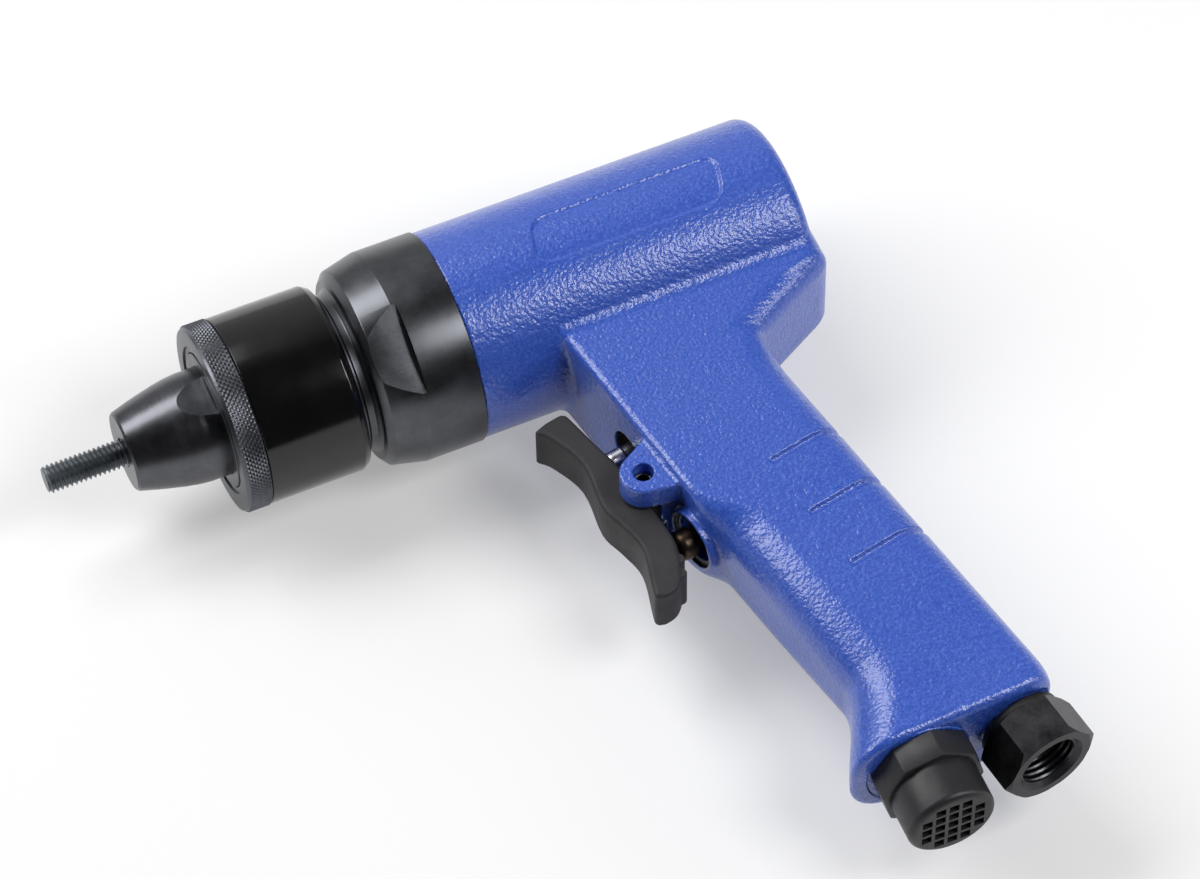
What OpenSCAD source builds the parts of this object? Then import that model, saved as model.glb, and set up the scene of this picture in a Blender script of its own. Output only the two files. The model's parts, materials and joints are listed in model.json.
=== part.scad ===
// Air rivet-nut tool with a pistol grip and a two-way rocker trigger.
// The tool lies on its right side. The barrel axis is the X axis: the nosepiece's front face
// is at X = 0, the mandrel points along -X, the grip hangs along -Y and the left side is +Z.

/* [Barrel line] */
// Distance from the nosepiece's front face to the knurled lock ring
nose_len = 19; // [17:0.5:20]
// Radius of the nosepiece where it leaves the lock ring
nose_r = 11.5; // [11:0.1:11.6]
// Radius of the nosepiece at its front face
nose_tip_r = 8.4; // [7:0.1:10]
// Length of the knurled lock ring
lock_ring_len = 5.5; // [5:0.5:6]
// Outer radius of the knurled lock ring
lock_ring_r = 20; // [19.5:0.1:21]
// Outer radius of the adjusting sleeve
sleeve_r = 19.8; // [19:0.1:20.5]
// X of the adjusting sleeve's rear edge
sleeve_end_x = 46; // [45:0.5:46]
// X of the collar's front face
collar_x = 49.4; // [49.4:0.1:50]
// Outer radius of the collar
collar_r = 22.5; // [22.3:0.1:23]
// Distance across the collar's two wrench flats
collar_flats = 40.8; // [39:0.1:42]
// X of the seam between the collar and the housing
seam_x = 70; // [70:1:70]
// Outer radius of the housing's barrel
barrel_r = 22.1; // [22:0.1:22.4]
// X of the housing's rear end
rear_x = 145; // [144:0.5:150]

/* [Mandrel] */
// Radius of the threaded mandrel
mandrel_r = 2.95; // [2.9:0.05:3]
// Length of the mandrel in front of the nosepiece
mandrel_reach = 16.8; // [12:0.1:22]

/* [Grip] */
// Lean of the grip away from the barrel's square, in degrees
grip_lean = 11; // [10:0.5:12]
// Distance from the trigger pivot to the grip's front face
face_gap = 4.5; // [4.4:0.1:4.8]
// Distance from the trigger pivot to the grip's back
grip_back = 39.1; // [38.5:0.1:40]
// Half of the grip's width
grip_half_w = 12.9; // [12.8:0.1:13.3]
// Half of the width across the flat flanks below the barrel
flank_half_w = 13.3; // [13.2:0.1:13.6]
// Slope of the overhang under the barrel's rear end, in degrees
overhang_slope = 28; // [26:1:30]
// Half of the grip's width at its base
base_half_w = 11.3; // [11.2:0.1:12]
// Y of the grip's base, in its middle
base_y = -130.9; // [-131.2:0.1:-130.6]
// Slope of the base, in degrees
base_slope = 1.3; // [1:0.1:1.6]
// How far the grip's heel flares forward at the base
heel_flare = 11.3; // [10:0.1:12]

/* [Trigger] */
// X of the trigger pivot
pivot_x = 89.9; // [89.5:0.1:90.5]
// Y of the trigger pivot
pivot_y = -54.8; // [-55:0.1:-54.5]
// Half of the trigger's width
trigger_half_w = 5.5; // [5:0.1:5.6]
// Thickness of each of the two ears that carry the trigger
ear_t = 6; // [5:0.5:6.5]
// Radius of the trigger pin
trigger_pin_r = 2.1; // [1.8:0.05:2.1]
// Distance from the pivot to each valve stem, along the grip
valve_offset = 12.2; // [12:0.1:12.5]

/* [Air fittings] */
// Distance across the flats of the air inlet's hexagon
inlet_flats = 18; // [17:0.1:18]
// Radius of the hole tapped in the air inlet
inlet_hole_r = 5.9; // [5.5:0.1:6]
// Distance across the flats of the silencer's octagonal flange
silencer_flats = 20.1; // [19.5:0.1:20.4]
// Radius of the silencer's cup
silencer_r = 9.15; // [9:0.05:9.5]

/* [Motor and gears] */
// Module of the gear teeth
gear_module = 0.7; // [0.7:0.01:0.7]
// Teeth on the rotor's pinion
sun_teeth = 12; // [12:3:12]
// Teeth on each planet gear
planet_teeth = 15; // [15:3:15]
// Radius of the rotor
rotor_r = 13; // [12:0.1:13]
// How far the cylinder's bore sits below the rotor's axis
bore_shift = 1.6; // [1:0.1:1.6]
// Number of sliding vanes
vane_count = 5; // [4:1:6]

/* [Hidden] */
$fn = 64;
eps = 0.5;

// Barrel line, all along X
lock_ring_end = nose_len + lock_ring_len;
holder_face_x = nose_len + 0.1;
holder_x = nose_len + 1.3;
holder_step_x = 31;
holder_end_x = 44;
neck_x = 36;
neck_r = 17.3;
collar_cone_end = 57.6;
collar_flat_end = 58.6;
collar_flat_turn = 34;
nose_flat_turn = 7;
nose_flats = 21.2;
spigot_end = 80;
spigot_r = 19.42;
motor_r = 19.45;
bore_r = 19.5;
bore_end = rear_x - 6.4;
plate_t = 7;
front_plate_x = 81;
cylinder_x = front_plate_x + plate_t;
rear_plate_x = bore_end - 0.6 - plate_t;
bearing_w = 6;
bearing_r = 11;
rotor_shaft_r = 5;
fit = 0.03;

// Gear train
ring_teeth = sun_teeth + 2 * planet_teeth;
planet_orbit = gear_module * (sun_teeth + planet_teeth) / 2;
planet_count = 3;
planet_pin_r = 1.5;
ring_gear_r = 17;
gear_x = 67.5;
gear_w = 9;
carrier_x = 62.6;
carrier_t = 3.8;

// Grip
root_r = 2.5;
root_y = -sqrt(pow(barrel_r + root_r, 2) - pow(flank_half_w + root_r, 2));
overhang_x = rear_x + 1.2;
overhang_y = -21.3;
overhang_round = 1.8;
overhang_fillet = 2.4;
face_taper = 0.0255;
face_step_y = -67;
face_step = 1.3;
lower_y = -85;
base_edge = 2;
tail_round = 3.5;
corner_steps = 6;
groove_ys = [-13.2, -27.4, -41.6];
groove_starts = [21, 20.3, 19.9];
groove_w = 1.3;
groove_depth = 0.8;
ear_z = trigger_half_w + 0.5;
ear_r = 4.8;
panel_x0 = 90;
panel_x1 = 131;
panel_y0 = -6;
panel_y1 = 5;
panel_depth = 0.5;

// Air passages, in the grip's own leaning frame
passage_x = 30;
valve_bore_r = 5;
bush_x = 8;
bush_len = 8.4;
guide_len = 4.4;
land_r = 4.27;
stem_r = 2;
stem_head_x = 14.1;
stem_head_len = 2.4;
stem_head_r = 4.05;
seal_x = 15.3;
seal_ring_r = 3.55;
seal_wire_r = 0.7;
groove_half = 0.75;
spring_len = 5.6;
seat_x = stem_head_x + stem_head_len + spring_len;
forward_tip_x = -0.55;
reverse_tip_x = -0.95;

// Fittings under the base: each has its place on the base and its own lean
inlet_at = [135.5, -131.4];
inlet_lean = 8;
inlet_male_r = 6.8;
inlet_hole_z = -0.2;
inlet_face_z = -0.8;
silencer_face_z = -1.45;
silencer_at = [114.3, -132.55];
silencer_lean = -1.3;

// Placing helpers

// Turns a child that stands on Z so that it lies along X, starting at x
module along_x(x) {
    translate([x, 0, 0]) rotate([0, 90, 0]) children();
}

// The grip's leaning frame: origin at the trigger pivot, X into the grip, -Y down the grip
module grip_frame() {
    translate([pivot_x, pivot_y, 0]) rotate([0, 0, grip_lean]) children();
}

// Points a fitting's own Z out of the base
module on_base(at, lean) {
    translate([at[0], at[1], 0]) rotate([0, 0, lean]) rotate([90, 0, 0]) children();
}

// A tube along Z
module tube(h, r_out, r_in, sides = 64) {
    difference() {
        cylinder(h = h, r = r_out, $fn = sides);
        translate([0, 0, -eps]) cylinder(h = h + 2 * eps, r = r_in, $fn = sides);
    }
}

// A ring of round section that lies across Z
module round_ring(ring_r, wire_r) {
    rotate_extrude() translate([ring_r, 0]) circle(r = wire_r, $fn = 24);
}

// Curve and gear functions

function smooth(t) = let (c = min(max(t, 0), 1)) c * c * (3 - 2 * c);

// Catmull-Rom curve through a list of points, with n steps between neighbours
function spline_at(p, i, t) =
    let (last = len(p) - 1,
         a = p[max(i - 1, 0)], b = p[i], c = p[min(i + 1, last)], d = p[min(i + 2, last)])
    0.5 * (2 * b + (c - a) * t + (2 * a - 5 * b + 4 * c - d) * t * t
           + (3 * b - a - 3 * c + d) * t * t * t);
function spline(p, n) =
    concat([for (i = [0 : len(p) - 2], k = [0 : n - 1]) spline_at(p, i, k / n)], [p[len(p) - 1]]);

// Half angle of a tooth at radius r, from its half angle at the pitch circle, in degrees
function roll_angle(r, base_r) = let (a = acos(min(1, base_r / r))) tan(a) * 180 / PI - a;
function tooth_half(r, pitch_r, base_r, half) =
    half + roll_angle(pitch_r, base_r) - roll_angle(max(r, base_r), base_r);

// Outline of a gear with involute flanks; play is taken off each flank, in degrees
function gear_outline(teeth, root_r, tip_r, play, steps = 3) =
    let (pitch_r = gear_module * teeth / 2,
         base_r = pitch_r * cos(20),
         half = 90 / teeth - play,
         radii = [for (k = [0 : steps]) root_r + (tip_r - root_r) * k / steps])
    [for (tooth = [0 : teeth - 1])
        let (mid = 360 * tooth / teeth)
        each concat(
            [for (k = [0 : steps])
                let (a = mid - tooth_half(radii[k], pitch_r, base_r, half))
                radii[k] * [cos(a), sin(a)]],
            [for (k = [steps : -1 : 0])
                let (a = mid + tooth_half(radii[k], pitch_r, base_r, half))
                radii[k] * [cos(a), sin(a)]])];

// Grip and lower housing, as one loft of rounded sections

// X of a line that runs down the grip at a given depth behind the pivot
function grip_line(depth, y) =
    pivot_x + (depth - (y - pivot_y) * sin(grip_lean)) / cos(grip_lean);

// The heel flares forward at the base
function flare(y) =
    let (t = min(max((-y - 112) / 20, 0), 1)) heel_flare * (smooth(t) + pow(t, 1.5)) / 2;

// The front face steps back a little below the valves
function front_gap(y) =
    face_gap + face_taper * (max(y, face_step_y) - pivot_y)
    + face_step * smooth((face_step_y - y) / 7);
function front_x(y) = grip_line(front_gap(y), y) - flare(y);

// Rear of the overhang: upright, then a rounded corner and a straight slope to the grip
function overhang_back(y) =
    let (t = overhang_y + overhang_round - y)
    overhang_x - (t < 0 ? 0 : t < 2 * overhang_round ? t * t / (4 * overhang_round)
                                                     : t - overhang_round) / tan(overhang_slope);

// The rear lower corner of the base is rounded off
function tail(y) = let (t = min(max((-y - 122) / 10, 0), 1)) tail_round * pow(t, 3);

// The slope runs into the back of the grip through a small fillet
function back_x(y) =
    let (a = grip_line(grip_back, y) - tail(y), b = overhang_back(y))
    (a + b + norm([a - b, overhang_fillet])) / 2;

// The flanks are flat, and run into the barrel through a fillet
function half_width(y) =
    let (rise = min(max(y - root_y, 0), 0.99 * root_r))
    base_half_w + (grip_half_w - base_half_w) * smooth((y - base_y) / (lower_y - base_y))
    + (flank_half_w - grip_half_w) * smooth((y + 80) / 20) + root_r - sqrt(root_r * root_r - rise * rise);

// The front corners are crisp beside the trigger and round down the grip
function front_round(y) = 1.5 + 7 * smooth((-y - 62) / 14) - 2 * smooth((lower_y - y) / 45);
function back_round(y) = 5.5 + 2.5 * smooth((-y - 33) / 10) - 2 * smooth((lower_y - y) / 45);

// Y levels of the sections, closer together where the outline bends
level_ys = [-12, -15, root_y + 1.7, root_y + 1.3, root_y + 0.85, root_y, -20.4, -21.6, -23,
            -26, -28.5, -30.5, -32, -33.3, -35, -38, -43, -60, -63.5, -67, -70, -73, -76, -85, -98,
            -112, -116, -119.5, -123, -126, base_y + base_edge, base_y + 1.1, base_y + 0.5,
            base_y + 0.15, base_y];

function corner(x, z, r, start) =
    [for (k = [0 : corner_steps])
        let (a = start + 90 * k / corner_steps) [x + r * cos(a), z + r * sin(a)]];

function section(y, inset) =
    let (foot = max(base_y + base_edge - y, 0),
         edge = inset + base_edge - sqrt(base_edge * base_edge - foot * foot),
         x0 = front_x(y) + edge,
         x1 = back_x(y) - edge,
         w = half_width(y) - edge,
         rf = max(front_round(y) - edge, 0.4),
         rb = max(back_round(y) - edge, 0.4),
         mid = (x0 + x1) / 2,
         slope = tan(base_slope) * smooth((-y - 112) / 20))
    [for (p = concat(corner(x1 - rb, w - rb, rb, 0), corner(x0 + rf, w - rf, rf, 90),
                     corner(x0 + rf, rf - w, rf, 180), corner(x1 - rb, rb - w, rb, 270)))
        [p[0], y + slope * (p[0] - mid), p[1]]];

module grip_loft(inset = 0) {
    n = 4 * (corner_steps + 1);
    last = len(level_ys) - 1;
    points = [for (y = level_ys) each section(y, inset)];
    sides = [for (i = [0 : last - 1], k = [0 : n - 1])
        let (a = i * n + k, b = i * n + (k + 1) % n)
        each [[a, b + n, b], [a, a + n, b + n]]];
    top = [for (k = [0 : n - 1]) k];
    bottom = [for (k = [n - 1 : -1 : 0]) last * n + k];
    polyhedron(points = points, faces = concat(sides, [top, bottom]));
}

// Three finger grooves that run from the middle of each flank round the back of the grip
module grip_grooves() {
    difference() {
        grip_frame()
            for (k = [0 : len(groove_ys) - 1])
                translate([groove_starts[k], groove_ys[k] - groove_w / 2, -20])
                    cube([30, groove_w, 40]);
        grip_loft(groove_depth);
    }
}

// One ear, as a flat lug whose round nose carries the trigger pin
module ear_outline() {
    base_x = 8;
    root_y = 6.9;
    root_x = face_gap + 1;
    reach = norm([root_x, root_y]);
    touch = atan2(root_y, root_x) + acos(ear_r / reach);
    corner_r = 0.96 * ear_r;
    circle(r = ear_r);
    polygon([
        [base_x, root_y],
        [root_x, root_y],
        corner_r * [cos(touch), sin(touch)],
        corner_r * [cos(touch), -sin(touch)],
        [root_x, -root_y],
        [base_x, -root_y]
    ]);
}

module ears() {
    grip_frame()
        for (side = [-1, 1])
            translate([0, 0, side * (ear_z + ear_t / 2)])
                linear_extrude(ear_t, center = true) ear_outline();
}

// Barrel of the housing, with a rounded rear edge
module barrel_shell() {
    edge = 3.5;
    along_x(seam_x) rotate_extrude($fn = 96)
        polygon(concat(
            [[0, 0], [barrel_r, 0]],
            [for (a = [0 : 15 : 90])
                [barrel_r - edge + edge * cos(a), rear_x - seam_x - edge + edge * sin(a)]],
            [[0, rear_x - seam_x]]));
}

// Outline of the panel: a slanted rectangle with round corners
module panel_outline() {
    r = 3.5;
    slant = 1.4;
    for (x = [panel_x0 + r, panel_x1 - r], y = [panel_y0 + r, panel_y1 - r])
        translate([x + (y > 0 ? slant : -slant), y]) circle(r = r);
    polygon([
        [panel_x0 - slant, panel_y0 + r],
        [panel_x0 + r - slant, panel_y0],
        [panel_x1 - r - slant, panel_y0],
        [panel_x1 - slant, panel_y0 + r],
        [panel_x1 + slant, panel_y1 - r],
        [panel_x1 - r + slant, panel_y1],
        [panel_x0 + r + slant, panel_y1],
        [panel_x0 + slant, panel_y1 - r]
    ]);
}

// Shallow bare panel on the left flank of the barrel
module panel_recess() {
    difference() {
        translate([0, 0, 10]) linear_extrude(20) panel_outline();
        along_x(80) cylinder(h = 60, r = barrel_r - panel_depth, $fn = 96);
    }
}

// Everything drilled in the housing
module housing_bores() {
    along_x(seam_x - eps) cylinder(h = bore_end - seam_x + eps, r = bore_r, $fn = 96);
    grip_frame() {
        for (side = [-1, 1]) {
            translate([0, side * valve_offset, 0])
                along_x(2) cylinder(h = passage_x - 2, r = valve_bore_r);
        }
        translate([0, 0, -20]) cylinder(h = 40, r = trigger_pin_r);
        translate([passage_x, valve_offset + 3.5, 0])
            rotate([90, 0, 0]) cylinder(h = 84, r = 4.5);
    }
    exhaust_ports();
    on_base(inlet_at, inlet_lean) {
        translate([0, 0, -13]) cylinder(h = 20, r = inlet_male_r);
        translate([0, 0, inlet_face_z]) cylinder(h = 5, r = 9.2);
    }
    on_base(silencer_at, silencer_lean) {
        translate([0, 0, -10]) cylinder(h = 20, r = 8.2);
        translate([0, 0, silencer_face_z]) cylinder(h = 5, r = 11.4);
    }
}

// Two exhaust channels from the motor bore down to the silencer, beside the valves
module exhaust_ports() {
    top = [108, -17];
    bottom = [115, -124];
    run = norm(bottom - top);
    lean = atan2(bottom[0] - top[0], top[1] - bottom[1]);
    for (side = [-1, 1])
        translate([top[0], top[1], side * 8.5])
            rotate([0, 0, lean]) rotate([90, 0, 0]) cylinder(h = run, r = 2.4);
}

module housing() {
    color("royalblue") difference() {
        union() {
            barrel_shell();
            difference() {
                grip_loft();
                grip_grooves();
            }
            ears();
            grip_frame() translate([0, -valve_offset, 0]) along_x(face_gap - 1.7)
                cylinder(h = 3, r = 7);
            on_base(inlet_at, inlet_lean) translate([0, 0, inlet_face_z - 5])
                cylinder(h = 5.5, r = 7.6);
            on_base(silencer_at, silencer_lean) translate([0, 0, silencer_face_z - 5])
                cylinder(h = 5.5, r = 10.4);
        }
        housing_bores();
        panel_recess();
        grip_frame() cylinder(h = 2 * ear_z, r = 4.1, center = true);
    }
}

// Front collar with its threaded neck, wrench flats and gearbox bore
module front_collar() {
    color("dimgray") difference() {
        along_x(neck_x) rotate_extrude($fn = 96) polygon([
            [12.45, 0],
            [neck_r - 0.6, 0],
            [neck_r, 0.6],
            [neck_r, collar_x - neck_x],
            [collar_r - 3.3, collar_x - neck_x],
            [collar_r - 1.6, collar_x - neck_x + 1.4],
            [collar_r, collar_cone_end - neck_x],
            [collar_r, seam_x - neck_x],
            [spigot_r, seam_x - neck_x],
            [spigot_r, spigot_end - neck_x],
            [ring_gear_r + fit, spigot_end - neck_x],
            [ring_gear_r + fit, 62.4 - neck_x],
            [14 + fit, 62.4 - neck_x],
            [14 + fit, 51 - neck_x],
            [12.45, 51 - neck_x]
        ]);
        rotate([collar_flat_turn, 0, 0])
            for (side = [-1, 1])
                translate([collar_x - eps, -collar_r, side > 0 ? collar_flats / 2 : -collar_flats])
                    cube([collar_flat_end - collar_x + eps, 2 * collar_r, collar_flats / 2]);
        along_x(75) tube(1.8, spigot_r + 1, spigot_r - 1.2, 96);
        translate([neck_x + 3, 0, 0]) cylinder(h = 20, r = 1.25);
    }
}

module collar_seal() {
    color("black") along_x(75.9) round_ring(spigot_r - 0.55, 0.6);
}

// Sleeve that is screwed along the neck to set the stroke
module adjusting_sleeve() {
    color("black") along_x(lock_ring_end) rotate_extrude($fn = 96) polygon([
        [15.56, 0],
        [sleeve_r - 0.2, 0],
        [sleeve_r, 0.2],
        [sleeve_r, sleeve_end_x - lock_ring_end - 1.5],
        [sleeve_r - 0.9, sleeve_end_x - lock_ring_end],
        [neck_r + 0.05, sleeve_end_x - lock_ring_end],
        [neck_r + 0.05, 32 - lock_ring_end],
        [15.56, 32 - lock_ring_end]
    ]);
}

// Knurled ring at the front of the sleeve
module lock_ring() {
    color("dimgray") along_x(nose_len) rotate_extrude($fn = 96) polygon([
        [15.8, 0],
        [lock_ring_r - 0.7, 0],
        [lock_ring_r, 0.7],
        [lock_ring_r, lock_ring_len - 0.3],
        [lock_ring_r - 0.3, lock_ring_len],
        [15.56, lock_ring_len],
        [15.56, 1.3],
        [16.5, 1.3],
        [16.5, 0.3],
        [15.8, 0.3]
    ]);
}

// Snap ring that keeps the nose holder in the lock ring
module nose_circlip() {
    gap = 3;
    gap_turn = 214;
    color("silver") difference() {
        along_x(nose_len + 0.35) tube(0.9, 16.4, 14.45, 96);
        rotate([gap_turn, 0, 0]) translate([nose_len, -gap / 2, 13]) cube([2, gap, 5]);
    }
}

// Bush inside the sleeve that carries the nosepiece and slides without turning
module nose_holder() {
    color("dimgray") difference() {
        along_x(0) rotate_extrude($fn = 96) polygon([
            [nose_r + fit, holder_face_x],
            [14, holder_face_x],
            [14.3, holder_face_x + 0.3],
            [14.3, holder_x],
            [15.5, holder_x],
            [15.5, holder_step_x],
            [12.4, holder_step_x],
            [12.4, holder_end_x],
            [10, holder_end_x],
            [10, 28],
            [nose_r + fit, 28]
        ]);
        translate([34, -1.3, 11]) cube([8, 2.6, 4]);
    }
}

// Key pin in the neck that stops the nose holder from turning
module guide_pin() {
    color("silver") translate([neck_x + 3, 0, 11.3]) cylinder(h = 5.8, r = 1.22);
}

// Tapered nosepiece with two wrench flats
module nosepiece() {
    color("dimgray") difference() {
        along_x(0) rotate_extrude($fn = 96) polygon([
            [mandrel_r + 0.2, 0],
            [nose_tip_r - 0.5, 0],
            [nose_tip_r, 0.5],
            [9.4, 4],
            [10.1, 6.8],
            [10.75, 9.6],
            [11.25, 12.4],
            [nose_r, 15],
            [nose_r, 27.9],
            [9.2, 27.9],
            [9.2, 16],
            [mandrel_r + 0.2, 16]
        ]);
        rotate([nose_flat_turn, 0, 0])
            for (side = [-1, 1])
                translate([15.8, 0, side * (nose_flats / 2 + 4)])
                    cube([7.6, 30, 8], center = true);
    }
}

// Threaded mandrel with its hexagonal drive head
module mandrel() {
    color("gray") {
        along_x(-mandrel_reach) rotate_extrude() polygon([
            [0, 0],
            [mandrel_r - 0.4, 0],
            [mandrel_r, 0.5],
            [mandrel_r, mandrel_reach],
            [mandrel_r - 0.4, mandrel_reach],
            [mandrel_r - 0.4, mandrel_reach + 2],
            [mandrel_r, mandrel_reach + 2],
            [mandrel_r, mandrel_reach + 24],
            [0, mandrel_reach + 24]
        ]);
        along_x(24) cylinder(h = 6, r = 4.6, $fn = 6);
    }
}

// Chuck that holds the mandrel's head on the drive spindle
module mandrel_chuck() {
    color("gray") difference() {
        along_x(21.5) cylinder(h = 20.5, r = 8.6);
        along_x(21) cylinder(h = 10, r = mandrel_r + 0.1);
        along_x(23.9) cylinder(h = 7, r = 4.65, $fn = 6);
        along_x(30.5) cylinder(h = 12, r = 6);
    }
}

// Drive spindle: the planet carrier and its shaft, turned as one piece
module drive_spindle() {
    color("silver") difference() {
        union() {
            along_x(30.6) cylinder(h = 16, r = 6 - 0.02);
            along_x(46) cylinder(h = carrier_x - 46 + eps, r = 7.5 - 0.02);
            along_x(carrier_x) cylinder(h = carrier_t, r = 14.4);
        }
        for (k = [0 : planet_count - 1])
            rotate([360 * k / planet_count, 0, 0]) translate([0, planet_orbit, 0])
                along_x(carrier_x - eps) cylinder(h = carrier_t + 2 * eps, r = planet_pin_r);
        along_x(carrier_x + 1.6) cylinder(h = carrier_t, r = 5.6);
    }
}

// A ball bearing along X: two rings with a ball row between them
module ball_bearing(x, width, r_out, r_in) {
    mid = (r_out + r_in) / 2;
    ball = 0.3 * (r_out - r_in);
    balls = 9;
    along_x(x) {
        difference() {
            union() {
                tube(width, r_out, mid + 0.18 * (r_out - r_in));
                tube(width, mid - 0.18 * (r_out - r_in), r_in);
                translate([0, 0, width * 0.35])
                    tube(width * 0.3, mid + 0.2 * (r_out - r_in), mid - 0.2 * (r_out - r_in));
            }
            for (k = [0 : balls - 1])
                rotate([0, 0, 360 * k / balls]) translate([mid, 0, -eps])
                    cylinder(h = width + 2 * eps, r = ball * 0.5, $fn = 16);
        }
    }
}

module spindle_bearing() {
    color("silver") ball_bearing(51.6, 7, 14, 7.5);
}

// Needle thrust bearing that takes the pull of the mandrel
module thrust_bearing() {
    color("silver") along_x(59.2) difference() {
        union() {
            tube(0.9, 13.5, 7.6);
            translate([0, 0, 0.9]) tube(1.3, 12.8, 8.4);
            translate([0, 0, 2.2]) tube(0.9, 13.5, 7.6);
        }
    }
}

module ring_gear() {
    tip_r = gear_module * (ring_teeth / 2 - 0.75);
    root_r = gear_module * (ring_teeth / 2 + 1.15);
    color("silver") along_x(gear_x - 0.5) rotate([0, 0, 90]) difference() {
        cylinder(h = 12.5, r = ring_gear_r, $fn = 96);
        translate([0, 0, -eps]) linear_extrude(14)
            polygon(inner_gear_outline(tip_r, root_r));
    }
}

// The space inside a ring gear: its "teeth" are the ring's gaps
function inner_gear_outline(tip_r, root_r) = gear_outline(ring_teeth, tip_r, root_r, -0.16);

module planet_gear(index) {
    tip_r = gear_module * (planet_teeth / 2 + 0.8);
    root_r = gear_module * (planet_teeth / 2 - 1.15);
    color("silver") rotate([360 * index / planet_count, 0, 0]) translate([0, planet_orbit, 0])
        along_x(gear_x) rotate([0, 0, 90]) difference() {
            linear_extrude(gear_w) polygon(gear_outline(planet_teeth, root_r, tip_r, 0.5));
            translate([0, 0, -eps]) cylinder(h = gear_w + 2 * eps, r = planet_pin_r + fit);
        }
}

module planet_gear_1() { planet_gear(0); }
module planet_gear_2() { planet_gear(1); }
module planet_gear_3() { planet_gear(2); }

module planet_pins() {
    color("silver") for (k = [0 : planet_count - 1])
        rotate([360 * k / planet_count, 0, 0]) translate([0, planet_orbit, 0])
            along_x(carrier_x) cylinder(h = gear_x + gear_w + 0.6 - carrier_x, r = planet_pin_r);
}

// Rotor with its shafts, vane slots and pinion
module rotor() {
    tip_r = gear_module * (sun_teeth / 2 + 0.8);
    root_r = gear_module * (sun_teeth / 2 - 1.15);
    color("gray") {
        difference() {
            along_x(cylinder_x + 0.3)
                cylinder(h = rear_plate_x - cylinder_x - 0.6, r = rotor_r);
            for (k = [0 : vane_count - 1])
                rotate([360 * k / vane_count + 36, 0, 0])
                    translate([cylinder_x - 1, -1.03, 6.4])
                        cube([rear_plate_x - cylinder_x + 2, 2.06, 8]);
        }
        along_x(gear_x + gear_w + 1) cylinder(h = cylinder_x - gear_x - gear_w, r = 4.9);
        along_x(rear_plate_x - 0.4) cylinder(h = plate_t - 0.2, r = rotor_shaft_r - 0.02);
        along_x(front_plate_x) cylinder(h = bearing_w, r = rotor_shaft_r - 0.02);
        along_x(gear_x - 1) rotate([0, 0, 90]) linear_extrude(gear_w + 2.2)
            polygon(gear_outline(sun_teeth, root_r, tip_r, 0.6));
    }
}

module rotor_vanes() {
    color("sienna") for (k = [0 : vane_count - 1])
        rotate([360 * k / vane_count + 36, 0, 0])
            translate([cylinder_x + 0.3, -1, 7])
                cube([rear_plate_x - cylinder_x - 0.6, 2, rotor_r - 7 - 0.05]);
}

// Liner whose bore sits off the rotor's axis, with exhaust slots at the bottom
module motor_cylinder() {
    length = rear_plate_x - cylinder_x;
    inner_r = rotor_r + bore_shift + 0.1;
    color("lightgray") difference() {
        along_x(cylinder_x) cylinder(h = length, r = motor_r, $fn = 96);
        translate([0, -bore_shift, 0])
            along_x(cylinder_x - eps) cylinder(h = length + 2 * eps, r = inner_r, $fn = 96);
        for (x = [cylinder_x + 9 : 8 : cylinder_x + 33])
            translate([x, 0, 0]) rotate([90, 0, 0]) cylinder(h = 24, r = 2.2);
        dowel_hole();
    }
}

module dowel_hole() {
    translate([0, 16.4, 0]) along_x(front_plate_x + 2)
        cylinder(h = rear_plate_x + plate_t - front_plate_x - 4, r = 1.27);
}

module front_end_plate() {
    color("lightgray") difference() {
        along_x(front_plate_x - 0.8) cylinder(h = plate_t + 0.8, r = motor_r, $fn = 96);
        along_x(front_plate_x - 1) cylinder(h = bearing_w + 1, r = bearing_r + 0.01);
        along_x(front_plate_x) cylinder(h = plate_t + eps, r = rotor_shaft_r + 0.8);
        dowel_hole();
    }
}

module rear_end_plate() {
    color("lightgray") difference() {
        along_x(rear_plate_x) cylinder(h = plate_t, r = motor_r, $fn = 96);
        along_x(rear_plate_x + 1) cylinder(h = plate_t, r = bearing_r + 0.01);
        along_x(rear_plate_x - eps) cylinder(h = plate_t, r = rotor_shaft_r + 0.8);
        dowel_hole();
    }
}

module front_rotor_bearing() {
    color("silver") ball_bearing(front_plate_x, bearing_w, bearing_r, rotor_shaft_r);
}

module rear_rotor_bearing() {
    color("silver") ball_bearing(rear_plate_x + 1, bearing_w, bearing_r, rotor_shaft_r);
}

module alignment_pin() {
    color("silver") translate([0, 16.4, 0]) along_x(front_plate_x + 2.2)
        cylinder(h = rear_plate_x + plate_t - front_plate_x - 4.4, r = 1.25);
}

module rear_gasket() {
    color("black") along_x(bore_end - 0.6) tube(0.6, motor_r, 13, 96);
}

// Rocker trigger

// The finger side of the trigger, from its top end to its lower tip
finger_curve = [[-9.8, 24.6], [-7.8, 20.6], [-6.2, 12.2], [-8.9, 1.6], [-8.3, -4.4],
                [-8.1, -11.2], [-12.2, -20.8]];
// The back of the trigger, from its lower tip to its top end
back_curve = [[-7.6, -23], [-5.2, -20.6], [-1.8, -14], [-0.9, -6], [-0.4, 7], [-1.1, 14],
              [-2.2, 24.9]];

function trigger_outline(inset) =
    let (front = spline(finger_curve, 5), back = spline(back_curve, 4))
    concat([for (p = front) [p[0] + inset, p[1] + (p[1] < -20 ? inset : p[1] > 24 ? -inset : 0)]],
           [[-11.8 + inset, -22.6 + inset]],
           [for (p = back) [p[0] - inset, p[1] + (p[1] < -20 ? inset : p[1] > 24 ? -inset : 0)]]);

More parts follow.
